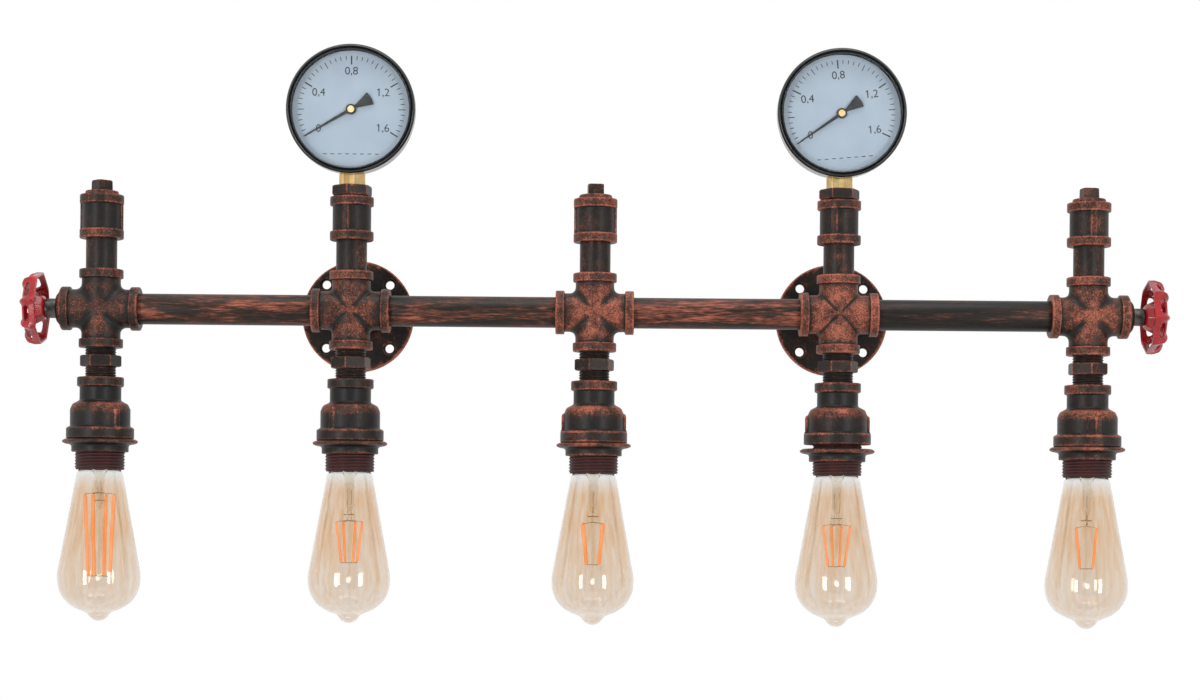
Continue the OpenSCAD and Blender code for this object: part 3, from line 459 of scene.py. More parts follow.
def black_enamel():
    """Gloss black enamel on drawn steel: near black with soft highlights and faint dust."""
    mat, tree, place = new_material("black_enamel")
    dust = add(tree, "TexNoise", {"Scale": per(2.4), "Detail": 5, "Roughness": 0.7}, {"Vector": place})
    film = add(tree, "MapRange", {**EASED, "From Min": 0.5, "From Max": 0.75}, {"Value": dust})
    colour = add(tree, "Mix", {**COLOURS, 6: linear("#0f1214"), 7: linear("#1a1f22")}, {0: film})
    gloss = {"From Min": 0.35, "From Max": 0.7, "To Min": 0.14, "To Max": 0.22}
    gloss = add(tree, "MapRange", {**EASED, **gloss}, {"Value": dust})
    bump = add(tree, "Bump", {"Strength": 0.2, "Distance": 0.01 * MM}, {"Height": dust})
    coat = {"IOR": 1.5, "Coat Weight": 0.3, "Coat Roughness": 0.06}
    surface = add(tree, "BsdfPrincipled", coat, {"Base Color": colour, "Roughness": gloss, "Normal": bump})
    add(tree, "OutputMaterial", links={"Surface": surface})
    return mat


def metal(name, low, high, roughness):
    """Turned or drawn metal: a plain colour with fine upright tool lines and slightly uneven gloss.

    Tool lines are about 0.1 mm apart, and are drawn at 0.5 mm so that they show.
    """
    uneven = 0.07
    mat, tree, place = new_material(name)
    upright = add(tree, "Mapping", {"Scale": (1, 1, 0.05)}, {"Vector": place})
    tool = add(tree, "TexNoise", {"Scale": per(0.5), "Detail": 3, "Roughness": 0.6}, {"Vector": upright})
    stain = add(tree, "TexNoise", {"Scale": per(7), "Detail": 4, "Roughness": 0.55}, {"Vector": place})
    stain = add(tree, "MapRange", {**EASED, "From Min": 0.35, "From Max": 0.7}, {"Value": stain})
    colour = add(tree, "Mix", {**COLOURS, 6: linear(low), 7: linear(high)}, {0: stain})
    gloss = {"To Min": roughness - uneven, "To Max": roughness + uneven}
    gloss = add(tree, "MapRange", {**NOISE_EASED, **gloss}, {"Value": tool})
    bump = add(tree, "Bump", {"Strength": 0.5, "Distance": 0.05 * MM}, {"Height": tool})
    surface = add(tree, "BsdfPrincipled", {"Metallic": 1.0}, {
        "Base Color": colour, "Roughness": gloss, "Normal": bump,
    })
    add(tree, "OutputMaterial", links={"Surface": surface})
    return mat


def paint(name, low, high, roughness, size=3.0):
    """Matt printed or sprayed paint: a flat colour with a faint mottle."""
    uneven = 0.05
    mat, tree, place = new_material(name)
    mottle = add(tree, "TexNoise", {"Scale": per(size), "Detail": 4, "Roughness": 0.55}, {"Vector": place})
    mottle = add(tree, "MapRange", NOISE_EASED, {"Value": mottle})
    colour = add(tree, "Mix", {**COLOURS, 6: linear(low), 7: linear(high)}, {0: mottle})
    gloss = {"To Min": roughness - uneven, "To Max": roughness + uneven}
    gloss = add(tree, "MapRange", gloss, {"Value": mottle})
    surface = add(tree, "BsdfPrincipled", {"Specular IOR Level": 0.3}, {
        "Base Color": colour, "Roughness": gloss,
    })
    add(tree, "OutputMaterial", links={"Surface": surface})
    return mat


def glass(name, clear, tinted, ior, streak=(1, 1, 1), ripple=0.0, soak=0.0):
    """Glass, tinted where its rub is, with the faint streaks and ripple of drawn or blown glass.

    Light from lamps and from matt surfaces goes straight through it, so it casts only a tinted
    shadow. soak is the density, per metre, of the brown that the melt itself takes up.
    """
    mat, tree, place = new_material(name)
    rub = add(tree, "Attribute", {"attribute_name": "rub"}).outputs["Fac"]
    drawn = add(tree, "Mapping", {"Scale": streak}, {"Vector": place})
    wave = add(tree, "TexNoise", {"Scale": per(3.5), "Detail": 2}, {"Vector": drawn})
    streaks = add(tree, "MapRange", {**NOISE_EASED, "To Min": 0.4, "To Max": 1.0}, {"Value": wave})
    depth = add(tree, "Math", {**TIMES, "use_clamp": True}, {0: rub, 1: streaks})
    tint = add(tree, "Mix", {**COLOURS, 6: linear(clear), 7: linear(tinted)}, {0: depth})
    bump = add(tree, "Bump", {"Strength": 0.3, "Distance": ripple * MM}, {"Height": wave})
    body = {"Transmission Weight": 1.0, "Roughness": 0.0, "IOR": ior}
    surface = add(tree, "BsdfPrincipled", body, {"Base Color": tint, "Normal": bump})
    through = add(tree, "BsdfTransparent", links={"Color": tint})
    path = add(tree, "LightPath").outputs
    straight = add(tree, "Math", LARGER, {0: path["Is Shadow Ray"], 1: path["Is Diffuse Ray"]})
    output = {"Surface": add(tree, "MixShader", links={0: straight, 1: surface, 2: through})}
    if soak:
        output["Volume"] = add(tree, "VolumeAbsorption", {"Color": linear("#b3a28c"), "Density": soak})
    add(tree, "OutputMaterial", links=output)
    return mat


def light_filament():
    """Phosphor coating on a light filament: soft orange with a grainy silicone skin, and a weak orange
    emission that is a painted glow, since the bulbs are not lit.
    """
    mat, tree, place = new_material("filament_phosphor_painted_glow")
    grain = add(tree, "TexNoise", {"Scale": per(0.6), "Detail": 3}, {"Vector": place})
    share = add(tree, "MapRange", NOISE_EASED, {"Value": grain})
    colour = add(tree, "Mix", {**COLOURS, 6: linear("#ffb678"), 7: linear("#ffc998")}, {0: share})
    bump = add(tree, "Bump", {"Strength": 0.4, "Distance": 0.05 * MM}, {"Height": grain})
    # Painted glow: a weak orange emission, though no lamp lights the bulb
    painted_glow = {"Roughness": 0.5, "Emission Color": linear("#ff9d50"), "Emission Strength": 0.6}
    surface = add(tree, "BsdfPrincipled", painted_glow, {"Base Color": colour, "Normal": bump})
    add(tree, "OutputMaterial", links={"Surface": surface})
    return mat


FITTING = rubbed_iron("malleable_iron_rubbed_copper")
PIPE = rubbed_iron("pipe_steel_streaked_copper", (0.12, 1, 1), 9, (0.15, 1.15), (1.7, 1.9, 1.2), 2.6)
RISER = rubbed_iron("riser_steel_touched_copper", (1, 1, 0.5), 16, (0.2, 1.2))
RESIN = phenolic()
RED = red_enamel()
BLACK = black_enamel()
BRASS = metal("turned_brass", "#d0b176", "#e2ca97", 0.55)
STEEL = metal("turned_steel", "#4a4745", "#6a6663", 0.36)
WIRE = metal("nickel_wire", "#a0988c", "#c0b8ac", 0.3)
DIAL = paint("dial_paint", "#b9c9d8", "#c1d0dd", 0.6, 20.0)
INK = paint("printing_ink", "#22262b", "#343a42", 0.6)
NEEDLE = paint("matt_black_paint", "#141516", "#242628", 0.5)
COVER = paint("wire_cover", "#a8a294", "#c6c1b3", 0.6)
AMBER = glass("amber_blown_glass", "#f0f0ef", "#ead1b5", 1.55, (1, 1, 0.025), 0.06, 12)
CLEAR = glass("clear_stem_glass", "#f8f6f1", "#f8f6f1", 1.08, (1, 1, 0.1), 0.1)
PANE = glass("window_glass", "#fbfcfd", "#fbfcfd", 1.45)
FILAMENT_PAINTED_GLOW = light_filament()


def union_outside(p, to_wall, fillet):
    """How far points lie outside the smooth union of a fitting's arms.

    Each arm is a cylinder of the cast radius. Two arms meet in a fillet: where their distances
    differ by less than k, a parabola fills the corner. k is the fillet times one less the cosine
    of the angle between the arms' surfaces, so nothing is added at the front, where they run
    into each other smoothly.
    """
    tiny = 1e-6
    x, y, z = (p[..., k] for k in range(3))
    offsets = [(0 * x, y, z), (x, y, 0 * z)] + ([(x, np.minimum(y, 0), z)] if to_wall else [])
    total = slope = None
    for offset in (np.stack(o, -1) for o in offsets):
        length = np.maximum(np.linalg.norm(offset, axis=-1), tiny)
        outside, outward = length - CAST_R, offset / length[..., None]
        if total is None:
            total, slope = outside, outward
            continue
        k = fillet * (1 - np.clip((slope * outward).sum(-1), 0, 1)) + tiny
        h = np.clip(0.5 + 0.5 * (outside - total) / k, 0, 1)
        slope = np.where((total < outside)[..., None], slope, outward)
        total = outside * (1 - h) + total * h - k * h * (1 - h)
    return total


def reach_of(start, way, high, to_wall, fillet):
    """Distance along each ray at which it leaves the union, found by halving an interval."""
    low = np.zeros_like(high)
    for _ in range(36):
        half = (low + high) / 2
        inside = union_outside(start + way * half[..., None], to_wall, fillet) < 0
        low, high = np.where(inside, half, low), np.where(inside, high, half)
    return (low + high) / 2


def cross_arm(out, others, to_wall, cast, rub):
    """One arm of a cross, from the seams with its neighbours to its mouth and down its socket.

    Rays leave the arm's axis at every angle. On the first row the ray leans towards the nearest
    neighbour so that it ends on the seam, halfway between the two axes. The other rows follow the
    axis outwards, closer together near the seam, and near the mouth the bead's height is added.
    The rub falls off to the seam, where the arms lean together, and to the groove by the bead; the black
    band along the seam is bare iron and also a painted shade of the crease.
    """
    out = np.array(out, float)
    fillet, black = cast
    rows, gather = 22, 1.4
    side = np.array((0, -1, 0) if out[Y] == 0 else (1, 0, 0), float)
    round_way = np.cos(TURN)[:, None] * side + np.sin(TURN)[:, None] * np.cross(out, side)
    lean = np.max([np.clip(round_way @ np.array(v, float), 0, None) for v in others], 0)
    seam_way = round_way + lean[:, None] * out
    seam = reach_of(np.zeros((ROUND, 3)), seam_way, np.full(ROUND, 2.5 * CAST_R), to_wall, fillet)
    bead_start = MOUTH - BEAD_W
    rise = BEAD_R - CAST_R
    inner = np.linspace(0, 1, rows)[:, None] ** gather
    along = seam * lean * (1 - inner) + (bead_start - 0.6) * inner
    bead = rounded([
        (0, bead_start - 0.5), (0, bead_start + 0.3, 0.7), (rise, bead_start + 0.9, 0.6, EDGE_RUB),
        (rise, bead_start + 1.9, 0, FACE_RUB), (rise, MOUTH - 2, 0, FACE_RUB),
        (rise, MOUTH, EDGE, EDGE_RUB), (0, MOUTH, 0, FACE_RUB),
    ])
    height = np.concatenate([along, np.repeat(bead[:, 1:2], ROUND, 1)])
    start = height[..., None] * out
    ways = np.broadcast_to(round_way, start.shape)
    limit = np.broadcast_to(seam * 1.0005, height.shape)
    radius = reach_of(start, ways, limit, to_wall, fillet)
    radius[0] = seam
    radius[rows:] += bead[:, :1]
    # A black band along the seam: bare iron, and painted shade of the crease between the arms
    hollow = np.exp(-(((along - along[0]) / black) ** 2)) * np.clip(15 * lean / black - 0.8, 0, 1)
    groove = np.exp((along - bead_start) / 2.2)
    crown = CROWN_RUB - 0.7 * hollow - 0.5 * groove
    floor = MOUTH - SOCKET_DEPTH
    socket = np.array([[SOCKET_R, MOUTH], [SOCKET_R, floor], [0, floor]])
    radius = np.concatenate([radius, np.repeat(socket[:, :1], ROUND, 1)])
    height = np.concatenate([height, np.repeat(socket[:, 1:], ROUND, 1)])
    shade = np.concatenate([crown, np.repeat(bead[:, 2:], ROUND, 1), np.zeros((len(socket), ROUND))])
    points = height[..., None] * out + radius[..., None] * round_way
    return Grid(points, shade + rub)


def make_crosses():
    """Cast crosses: four arms each, and a fifth to the wall on the lamps that carry a flange."""
    flat = ((1, 0, 0), (-1, 0, 0), (0, 0, 1), (0, 0, -1))
    back = (0, 1, 0)
    for i in LAMPS:
        to_wall = i in FLANGE_LAMPS
        arms = (*flat, back) if to_wall else flat
        grids = []
        for arm in arms:
            others = [other for other in arms if other != arm]
            grids.append(on_lamp(cross_arm(arm, others, to_wall, CROSS_CAST[i], CROSS_RUB[i]), i))
        node = f"cross_{i + 1}"
        piece(f"cast_{node}", grids, FITTING, [node], smooth=SOFT_CREASE)


def tube_profile(radius, bore, low, high, rub):
    """Closed outline of a pipe with its two edges lightly broken."""
    return rounded([
        (bore, low, 0.2), (radius, low, 0.5, rub), (radius, high, 0.5, rub), (bore, high, 0.2),
    ], closed=True, steps=4)


def make_pipes():
    """Rail pipes, risers and the nipples to the wall: plain tubes whose ends sit in the fittings.

    A rail pipe is rubbed most along its front, and less by the cosine of the angle from there.
    """
    rail_rub, front_rub, short_rub = 0.4, 0.2, 0.2
    for k in range(4):
        node = f"rail_pipe_{k + 1}"
        profile = tube_profile(PIPE_R, PIPE_BORE, *ends(node, X), rail_rub + PIPE_RUB[k])
        tube = turned(profile, rub=-front_rub * np.cos(TURN), loop=True)
        piece(f"rail_tube_{k + 1}", [placed(tube, RAIL, "right")], PIPE, [node])
    tube = turned(tube_profile(PIPE_R, PIPE_BORE, *ends("riser_nipples", Z), short_rub), loop=True)
    grids = [on_lamp(tube, i) for i in LAMPS]
    piece("riser_tubes", grids, RISER, ["riser_nipples"])
    tube = turned(tube_profile(PIPE_R, PIPE_BORE, *ends("flange_nipples", Y), short_rub), loop=True)
    grids = [placed(tube, (LAMP_X[i], 0, RAIL[Z]), "wall") for i in FLANGE_LAMPS]
    piece("wall_nipple_tubes", grids, RISER, ["flange_nipples"])


def rib_front(angle, radius):
    """Share of a rib at an angle: 1 on the two opposite ribs, 0 beside them, with a short slope."""
    slope = 0.22
    return 1 / (1 + np.exp((np.abs(np.sin(angle)) * radius - RIB_W / 2) / slope))


def ribbed(profile, rise, low, high, turn, rub, fade=1.2):
    """A revolved body with two ribs between two heights; the ribs never pass the profile's beads.

    The rib's share of the angle times its share of the height is added to the radius, and the
    slope of that share, which is largest along the rib's two edges, is added to the rub. Columns
    stand closer at the ribs: the angle is the even angle less a part of the sine of twice itself.
    The outline is closed, and its long steps are cut into short ones.
    """
    step, count, gather = 1.6, 144, 0.35
    edge_rub, top_rub = 0.78, 0.18
    line = np.concatenate([profile, profile[:1]])
    fine = [np.linspace(a, b, 1 + math.ceil(np.linalg.norm((b - a)[:2]) / step))[:-1]
            for a, b in zip(line[:-1], line[1:])]
    fine = np.concatenate(fine + [line[-1:]])
    even = even_angles(count)
    angle = even - gather * np.sin(2 * even)
    radius, height = fine[:, :1], fine[:, 1:2]
    upward = np.gradient(fine[:, 1])[:, None] >= 0
    along = np.clip((height - low) / fade, 0, 1) * np.clip((high - height) / fade, 0, 1) * upward
    front = rib_front(angle[None], np.maximum(radius, 1))
    room = np.clip(np.max(radius) - 0.3 - radius, 0, rise)
    edge = 4 * front * (1 - front) * along * (room > 0.5)
    rib_rub = edge_rub * edge + top_rub * front * along
    return turned(fine, turn, swell=room * front * along, rub=rub + rib_rub, angle=angle)


def make_couplings():
    """Banded couplings: a waist between two beads, with a rib on each side, and a socket at each end."""
    low, high = COUPLING_Z
    rise = BEAD_R - CAST_R - 0.3
    # One end from the socket's floor to the waist, measured from its mouth; the other mirrors it
    end = [
        (PIPE_BORE, SOCKET_DEPTH), (SOCKET_R, SOCKET_DEPTH), (SOCKET_R, 0, 0, 0.1),
        (BEAD_R, 0, EDGE, EDGE_RUB), (BEAD_R, 2, 0, FACE_RUB), (BEAD_R, BEAD_W - 2, 0, FACE_RUB),
        (BEAD_R, BEAD_W - 0.8, 0.6, INNER_RUB), (CAST_R, BEAD_W, 0.9, GROOVE_RUB),
        (CAST_R, BEAD_W + 4, 0, 0.12),
    ]
    lower = [(r, low + z, *more) for r, z, *more in end]
    upper = [(r, high - z, *more) for r, z, *more in end[::-1]]
    profile = rounded(lower + upper, closed=True)
    grids = []
    for i in LAMPS:
        body = ribbed(profile, rise, low + BEAD_W / 2, high - BEAD_W / 2, COUPLING_TURN[i], LAMP_RUB[i])
        grids.append(on_lamp(body, i))
    piece("banded_couplings", grids, FITTING, ["couplings"])


def hexagon(low, high, flat, chamfer, turn, rub, bore=0.0):
    """Hexagon bar: a chamfered disc is cut by six flats, and the first corner is at turn.

    The rub peaks at the corners and fades along the flats as a high power of the sine of three
    times the angle, written by the cosine of twice that.
    """
    corner = flat / math.cos(math.pi / 6)
    count = 2 * ROUND
    profile = rounded([
        (bore, low, 0, 0.1), (corner - chamfer, low, 0, 0.5), (corner, low + 0.6 * chamfer, 0, 0.3),
        (corner, low + 2 * chamfer, 0, 0.05), (corner, high - 2 * chamfer, 0, 0.05),
        (corner, high - 0.6 * chamfer, 0, 0.3), (corner - chamfer, high, 0, 0.5), (bore, high, 0, 0.1),
    ], steps=3)
    corner_rub = 0.75 * ((1 - np.cos(6 * even_angles(count))) / 2) ** 90
    limit = polygon_limit(6, flat, count)
    return turned(profile, turn + 30, limit, rub=rub + corner_rub, loop=bore > 0, count=count)


def make_plugs():
    """Square-headed plugs: a shoulder on the coupling's mouth and a head with four flats."""
    top = COUPLING_Z[1]
    shoulder, crown, seat = 13.2, 12.6, top + 3.7
    square = polygon_limit(4, 6.0)
    grids = []
    for i in PLUG_LAMPS:
        body = turned(rounded([
            (0, top - 8), (PIPE_R, top - 8, 0.5), (PIPE_R, top + 0.2), (shoulder, top + 0.2, 0.4, 0.5),
            (crown, top + 3.0, 0.8, 0.6), (9, seat, 0, 0.1), (0, seat, 0, 0.1),
        ]))
        head = turned(rounded([
            (0, top + 2.5), (8.6, top + 2.5, 0, 0.1), (8.25, PLUG_TOP - 1, 0.3, 0.3),
            (7.4, PLUG_TOP, 0.5, 0.45), (0, PLUG_TOP, 0, 0.1),
        ]), PLUG_TURN[i], square)
        grids += [on_lamp(body, i), on_lamp(head, i)]
    piece("square_head_plugs", grids, FITTING, ["square_plugs"])


def make_gauge_bushings():
    """Bushings below the gauges: a hexagon on the coupling's mouth and a plain shank in it."""
    top = COUPLING_Z[1]
    shank = turned(tube_profile(PIPE_R - 0.6, BUSHING_BORE, top - 9, top + 1.5, 0.35), loop=True)
    grids = []
    for i in FLANGE_LAMPS:
        head = hexagon(top + 1.2, BUSHING_TOP, HEX_FLAT, HEX_CHAMFER, NIPPLE_TURN[i], 0.05, BUSHING_BORE)
        grids += [on_lamp(head, i), on_lamp(shank, i)]
    piece("hex_gauge_bushings", grids, FITTING, ["gauge_bushings"])


def make_hex_nipples():
    """Hexagon nipples below the crosses, with a screw thread above and below the hexagon."""
    low, high = NIPPLE_HEX_Z
    grids = []
    for i in LAMPS:
        rub = LAMP_RUB[i] + 0.02
        head = hexagon(low, high, HEX_FLAT, HEX_CHAMFER, NIPPLE_TURN[i], rub, NIPPLE_BORE)
        grids.append(on_lamp(head, i))
        for start, stop in ((high - 0.5, NIPPLE_Z[1]), (NIPPLE_Z[0], low + 0.5)):
            thread = screw(PIPE_R, PIPE_THREAD, PIPE_PITCH, start, stop, 1.0, (-0.1, 0.1))
            grids.append(on_lamp(closed_thread(thread, NIPPLE_BORE), i))
    piece("hex_nipple_threads", grids, FITTING, ["hex_nipples"])


def make_reducers():
    """Bell reducers: a beaded neck, a rounded shoulder and a cup with a broad bead and two ribs."""
    low, high = REDUCER_Z
    bore, cup_floor = 9.6, low + 19.3
    neck, collar, shoulder, cup, wide = 16.0, 18.0, 21.4, 23.2, 26.1
    cup_bore = HOLDER_R + SOCKET_GAP
    less_rub = 0.13
    profile = rounded([
        (bore, high - SOCKET_DEPTH), (bore, cup_floor), (cup_bore, cup_floor), (cup_bore, low, 0.3, 0.1),
        (wide, low, EDGE, EDGE_RUB), (wide, low + 2, 0, 0.3), (wide, low + 6.5, 0, 0.3),
        (wide, low + 8.2, 1.2, 0.85), (cup, low + 9.8, 1.0, -0.15), (cup, low + 13.5, 0, 0.1),
        (cup, high - 29, 0, 0.3), (cup, high - 25.2, 3.5, 0.72), (shoulder, high - 21, 3.5, 0.88),
        (neck, high - 18.2, 2.5, 0.1), (neck, high - 16), (neck, high - 10, 0, 0.05),
        (neck, high - 7.8, 0.9, GROOVE_RUB), (collar, high - 6.9, 0.6, INNER_RUB),
        (collar, high - 5.8, 0, FACE_RUB), (collar, high - 2, 0, FACE_RUB), (collar, high, EDGE, EDGE_RUB),
        (SOCKET_R, high, 0.3, 0.1), (SOCKET_R, high - SOCKET_DEPTH),
    ], closed=True)
    grids = []
    for i in LAMPS:
        body = ribbed(profile, 2.0, low + 6, high - 25, REDUCER_TURN[i], LAMP_RUB[i] - less_rub)
        grids.append(on_lamp(body, i))
    piece("bell_reducers", grids, FITTING, ["reducers"])


def make_lampholders():
    """Lampholders: a screw thread outside, and inside a smooth mouth and a room for the screw shell."""
    low, high = HOLDER_Z
    root = HOLDER_R - HOLDER_THREAD
    mouth_r, mouth_top = 17.2, low + 8.5
    shell_r, shell_top = 14.3, high - 6.5
    thread = screw(HOLDER_R, HOLDER_THREAD, HOLDER_PITCH, low, high, 1.2, (0.1, 0.7), ROUND)
    mouth = turned(rounded([
        (root, low, 0, 0.5), (HOLDER_R - 1.2, low, 0, 0.7), (mouth_r, low, 0.4, 0.5),
        (mouth_r, mouth_top, 0.4, 0.1), (shell_r, mouth_top, 0, 0.1), (shell_r, shell_top), (0, shell_top),
    ]))
    top = turned(rounded([(root, high), (0, high)]))
    grids = [on_lamp(grid, i) for i in LAMPS for grid in (thread, mouth, top)]
    piece("lampholder_threads", grids, RESIN, ["lampholder_bodies"])


def make_shade_rings():
    """Shade rings on the lampholders' threads: a collar under a lip with rounded edges."""
    bore, collar = HOLDER_R + 0.3, 22.0
    for i in LAMPS:
        node = f"shade_ring_{i + 1}"
        low, high = ends(node, Z)
        lip = ends(node, X)[1] - LAMP_X[i]
        profile = rounded([
            (bore, high, 0.3), (lip - 2, high, 1.2, 0.3), (lip, high - 1.2, 0.6, 0.65),
            (lip, high - 2.6, 0.8, 0.65), (lip - 2, high - 3.6, 1.5, 0.2), (collar, high - 4.6, 1.8, -0.1),
            (collar, low + 2.2, 0, 0.1), (collar, low, 0.9, 0.5), (bore, low, 0.4, 0.1),
        ], closed=True)
        ring = on_lamp(turned(profile, rub=LAMP_RUB[i], loop=True), i)
        piece(f"holder_ring_{i + 1}", [ring], FITTING, [node], f"ring_{i + 1}")


def glass_outline(wall):
    """Half outline of a bulb from the neck down to the tip, moved in by a wall thickness.

    The side is a straight line that leaves the belly's circle at the taper angle. Below the belly
    the radius is the soft maximum of a superellipse that ends as its own tangent, which is the bowl,
    and of a half ellipse, which is the tip. The glass is clear at the neck, which is a painted reflection of
    the light above, and then tinted, less over the belly and the tip.
    """
    side_top, belly, taper = 3, 83.5, math.radians(10.4)
    bowl, power, last = 28.0, 2.3, 0.92
    drop_r, drop_h = 8.8, 8.4
    soft = 1.7
    length = RIM - BULB_TIP
    flank_r, flank = BULB_R * math.cos(taper), belly - BULB_R * math.sin(taper)
    throat = flank_r - (flank - side_top) * math.tan(taper)
    depth = np.linspace(side_top, flank, 12)
    side = np.column_stack([throat + (depth - side_top) * math.tan(taper), -depth])
    angle = np.linspace(taper, 0, 6)[1:]
    round_side = np.column_stack([BULB_R * np.cos(angle), -belly + BULB_R * np.sin(angle)])
    low = (length - belly) * np.sin(np.linspace(0, np.pi / 2, 60))[1:]
    share = np.minimum(low / bowl, last)
    fall = BULB_R / bowl * last ** (power - 1) * (1 - last ** power) ** (1 / power - 1)
    bowl_r = BULB_R * (1 - share ** power) ** (1 / power) - fall * (low - bowl * share)
    tip_r = drop_r * np.sqrt(1 - np.clip((low - length + belly) / drop_h + 1, 0, 1) ** 2)
    end = np.column_stack([soft * np.logaddexp(bowl_r / soft, tip_r / soft), -belly - low])
    neck = np.array([[11.6, 13.0], [12.0, 6.5], [15.1, 1.0], [throat - 0.6, -1.5]])
    line = np.concatenate([neck, side, round_side, end])
    slope = np.gradient(line, axis=0)
    normal = np.column_stack([-slope[:, 1], slope[:, 0]]) / np.linalg.norm(slope, axis=1, keepdims=True)
    line = line - wall * normal
    line[:, 0] = np.maximum(line[:, 0], 0)
    line[-1, 0] = 0
    if wall:
        line[-1, 1] = wall - length
    # Tint 0 at the neck is a painted reflection of the light above; it is full down the side and thinner
    # over belly and tip
    tint = np.interp(-line[:, 1], (6, 13, 50, belly, length), (0, 1, 1, 0.68, 0.5))
    return np.column_stack([line[:, 0], line[:, 1] + RIM, tint])


def rods(pairs, diameter, count=12):
    """Straight round rods with rounded ends between pairs of points.

    A circle square to each rod is carried along it, and shrinks to a point over half a diameter
    at both ends.
    """
    grids = []
    share = np.array([0, 0.5, 0.87, 1.0])
    radius = np.concatenate([share, share[::-1]]) * diameter / 2
    inset = (1 - np.sqrt(1 - share ** 2)) * diameter / 2
    angle = even_angles(count)
    for a, b in np.array(pairs, float):
        length = np.linalg.norm(b - a)
        way = (b - a) / length
        side = np.cross(way, (0, 0, 1) if abs(way[Z]) < 0.9 else (1, 0, 0))
        side /= np.linalg.norm(side)
        ring = np.cos(angle)[:, None] * side + np.sin(angle)[:, None] * np.cross(way, side)
        along = np.concatenate([inset, length - inset[::-1]])
        points = a + along[:, None, None] * way + radius[:, None, None] * ring
        grids.append(Grid(points))
    return grids


def make_bulbs():
    """Bulbs: a thin amber glass, a stem with its rod, wires with a loop and four sloping light filaments."""
    wall, rod_d, wire_d = 0.8, 1.8, 0.5
    shell = np.concatenate([glass_outline(0.0), glass_outline(wall)[::-1]])
    stem = rounded([(10.6, 12.8), (9.6, 9.0, 4), (4.2, -4, 8), (3.6, -24, 3), (2.2, -30, 1.5), (0, -31)])
    bore = stem[::-1] - (wall, 0, 0)
    bore[:, 0] = np.maximum(bore[:, 0], 0)
    bore[bore[:, 1] < -26, 1] += 1.2
    stem = np.concatenate([stem, bore]) + (0, RIM, 0)
    lead_r, lead_top = 4.6, RIM - 14
    loop_r, loop_wire = 4.2, 0.4
    turn = even_angles(8)
    loop_line = np.column_stack([loop_r + loop_wire * np.cos(turn), loop_wire * np.sin(turn), 0 * turn])
    for i in LAMPS:
        top, end = RIM - FILAMENT_TOP[i], RIM - FILAMENT_END[i]
        head_r, foot_r = FILAMENT_OUT[i]
        spokes = [math.radians(BULB_TURN[i] + 45 + 90 * k) for k in range(4)]
        heads = [(head_r * math.cos(a), head_r * math.sin(a), top) for a in spokes]
        feet = [(foot_r * math.cos(a), foot_r * math.sin(a), end) for a in spokes]
        wires = [(feet[k], feet[k - 1]) for k in range(4)]
        for k in (0, 2):
            a = (spokes[k] + spokes[k + 1]) / 2
            lead = (lead_r * math.cos(a), lead_r * math.sin(a))
            knee = (*lead, min(top + 1, lead_top - 2))
            wires += [((*lead, lead_top), knee), (knee, heads[k]), (knee, heads[k + 1])]
        rod = rods([((0, 0, RIM - 29), (0, 0, end - 1.5))], rod_d)
        loop = turned(loop_line + (0, RIM - WIRE_LOOP[i], 0), loop=True, count=32)
        envelope = [turned(shell, loop=True)]
        tube = [turned(stem, loop=True, count=SMALL_ROUND)]
        sticks = rods(list(zip(heads, feet)), FILAMENT_D[i])
        for name, grids, material, slot, nodes, smooth in (
            ("envelope", envelope, AMBER, "amber_glass", [f"bulb_glass_{i + 1}"], GLASS_CREASE),
            ("stem", tube + rod, CLEAR, "filament", [f"bulb_filament_{i + 1}"], GLASS_CREASE),
            ("wires", rods(wires, wire_d) + [loop], WIRE, "filament", (), CREASE),
            ("sticks", sticks, FILAMENT_PAINTED_GLOW, "filament", (), CREASE),
        ):
            grids = [on_lamp(grid, i) for grid in grids]
            piece(f"bulb_{name}_{i + 1}", grids, material, nodes, f"bulb_{i + 1}", smooth)


def gauge_at(grid, side):
    """The grid on a dial's axis: right and up on the dial, and out towards the viewer from the wall."""
    return placed(grid, (LAMP_X[FLANGE_LAMPS[side]], 0, DIAL_Z), "viewer")


def flat_disc(radius, low, high, edge=0.2):
    """Half outline of a disc with lightly broken edges; a ring beside each edge keeps the faces flat."""
    flat = radius - 4 * edge
    return rounded([
        (0, low), (flat, low), (radius, low, edge), (radius, high, edge), (flat, high), (0, high),
    ])


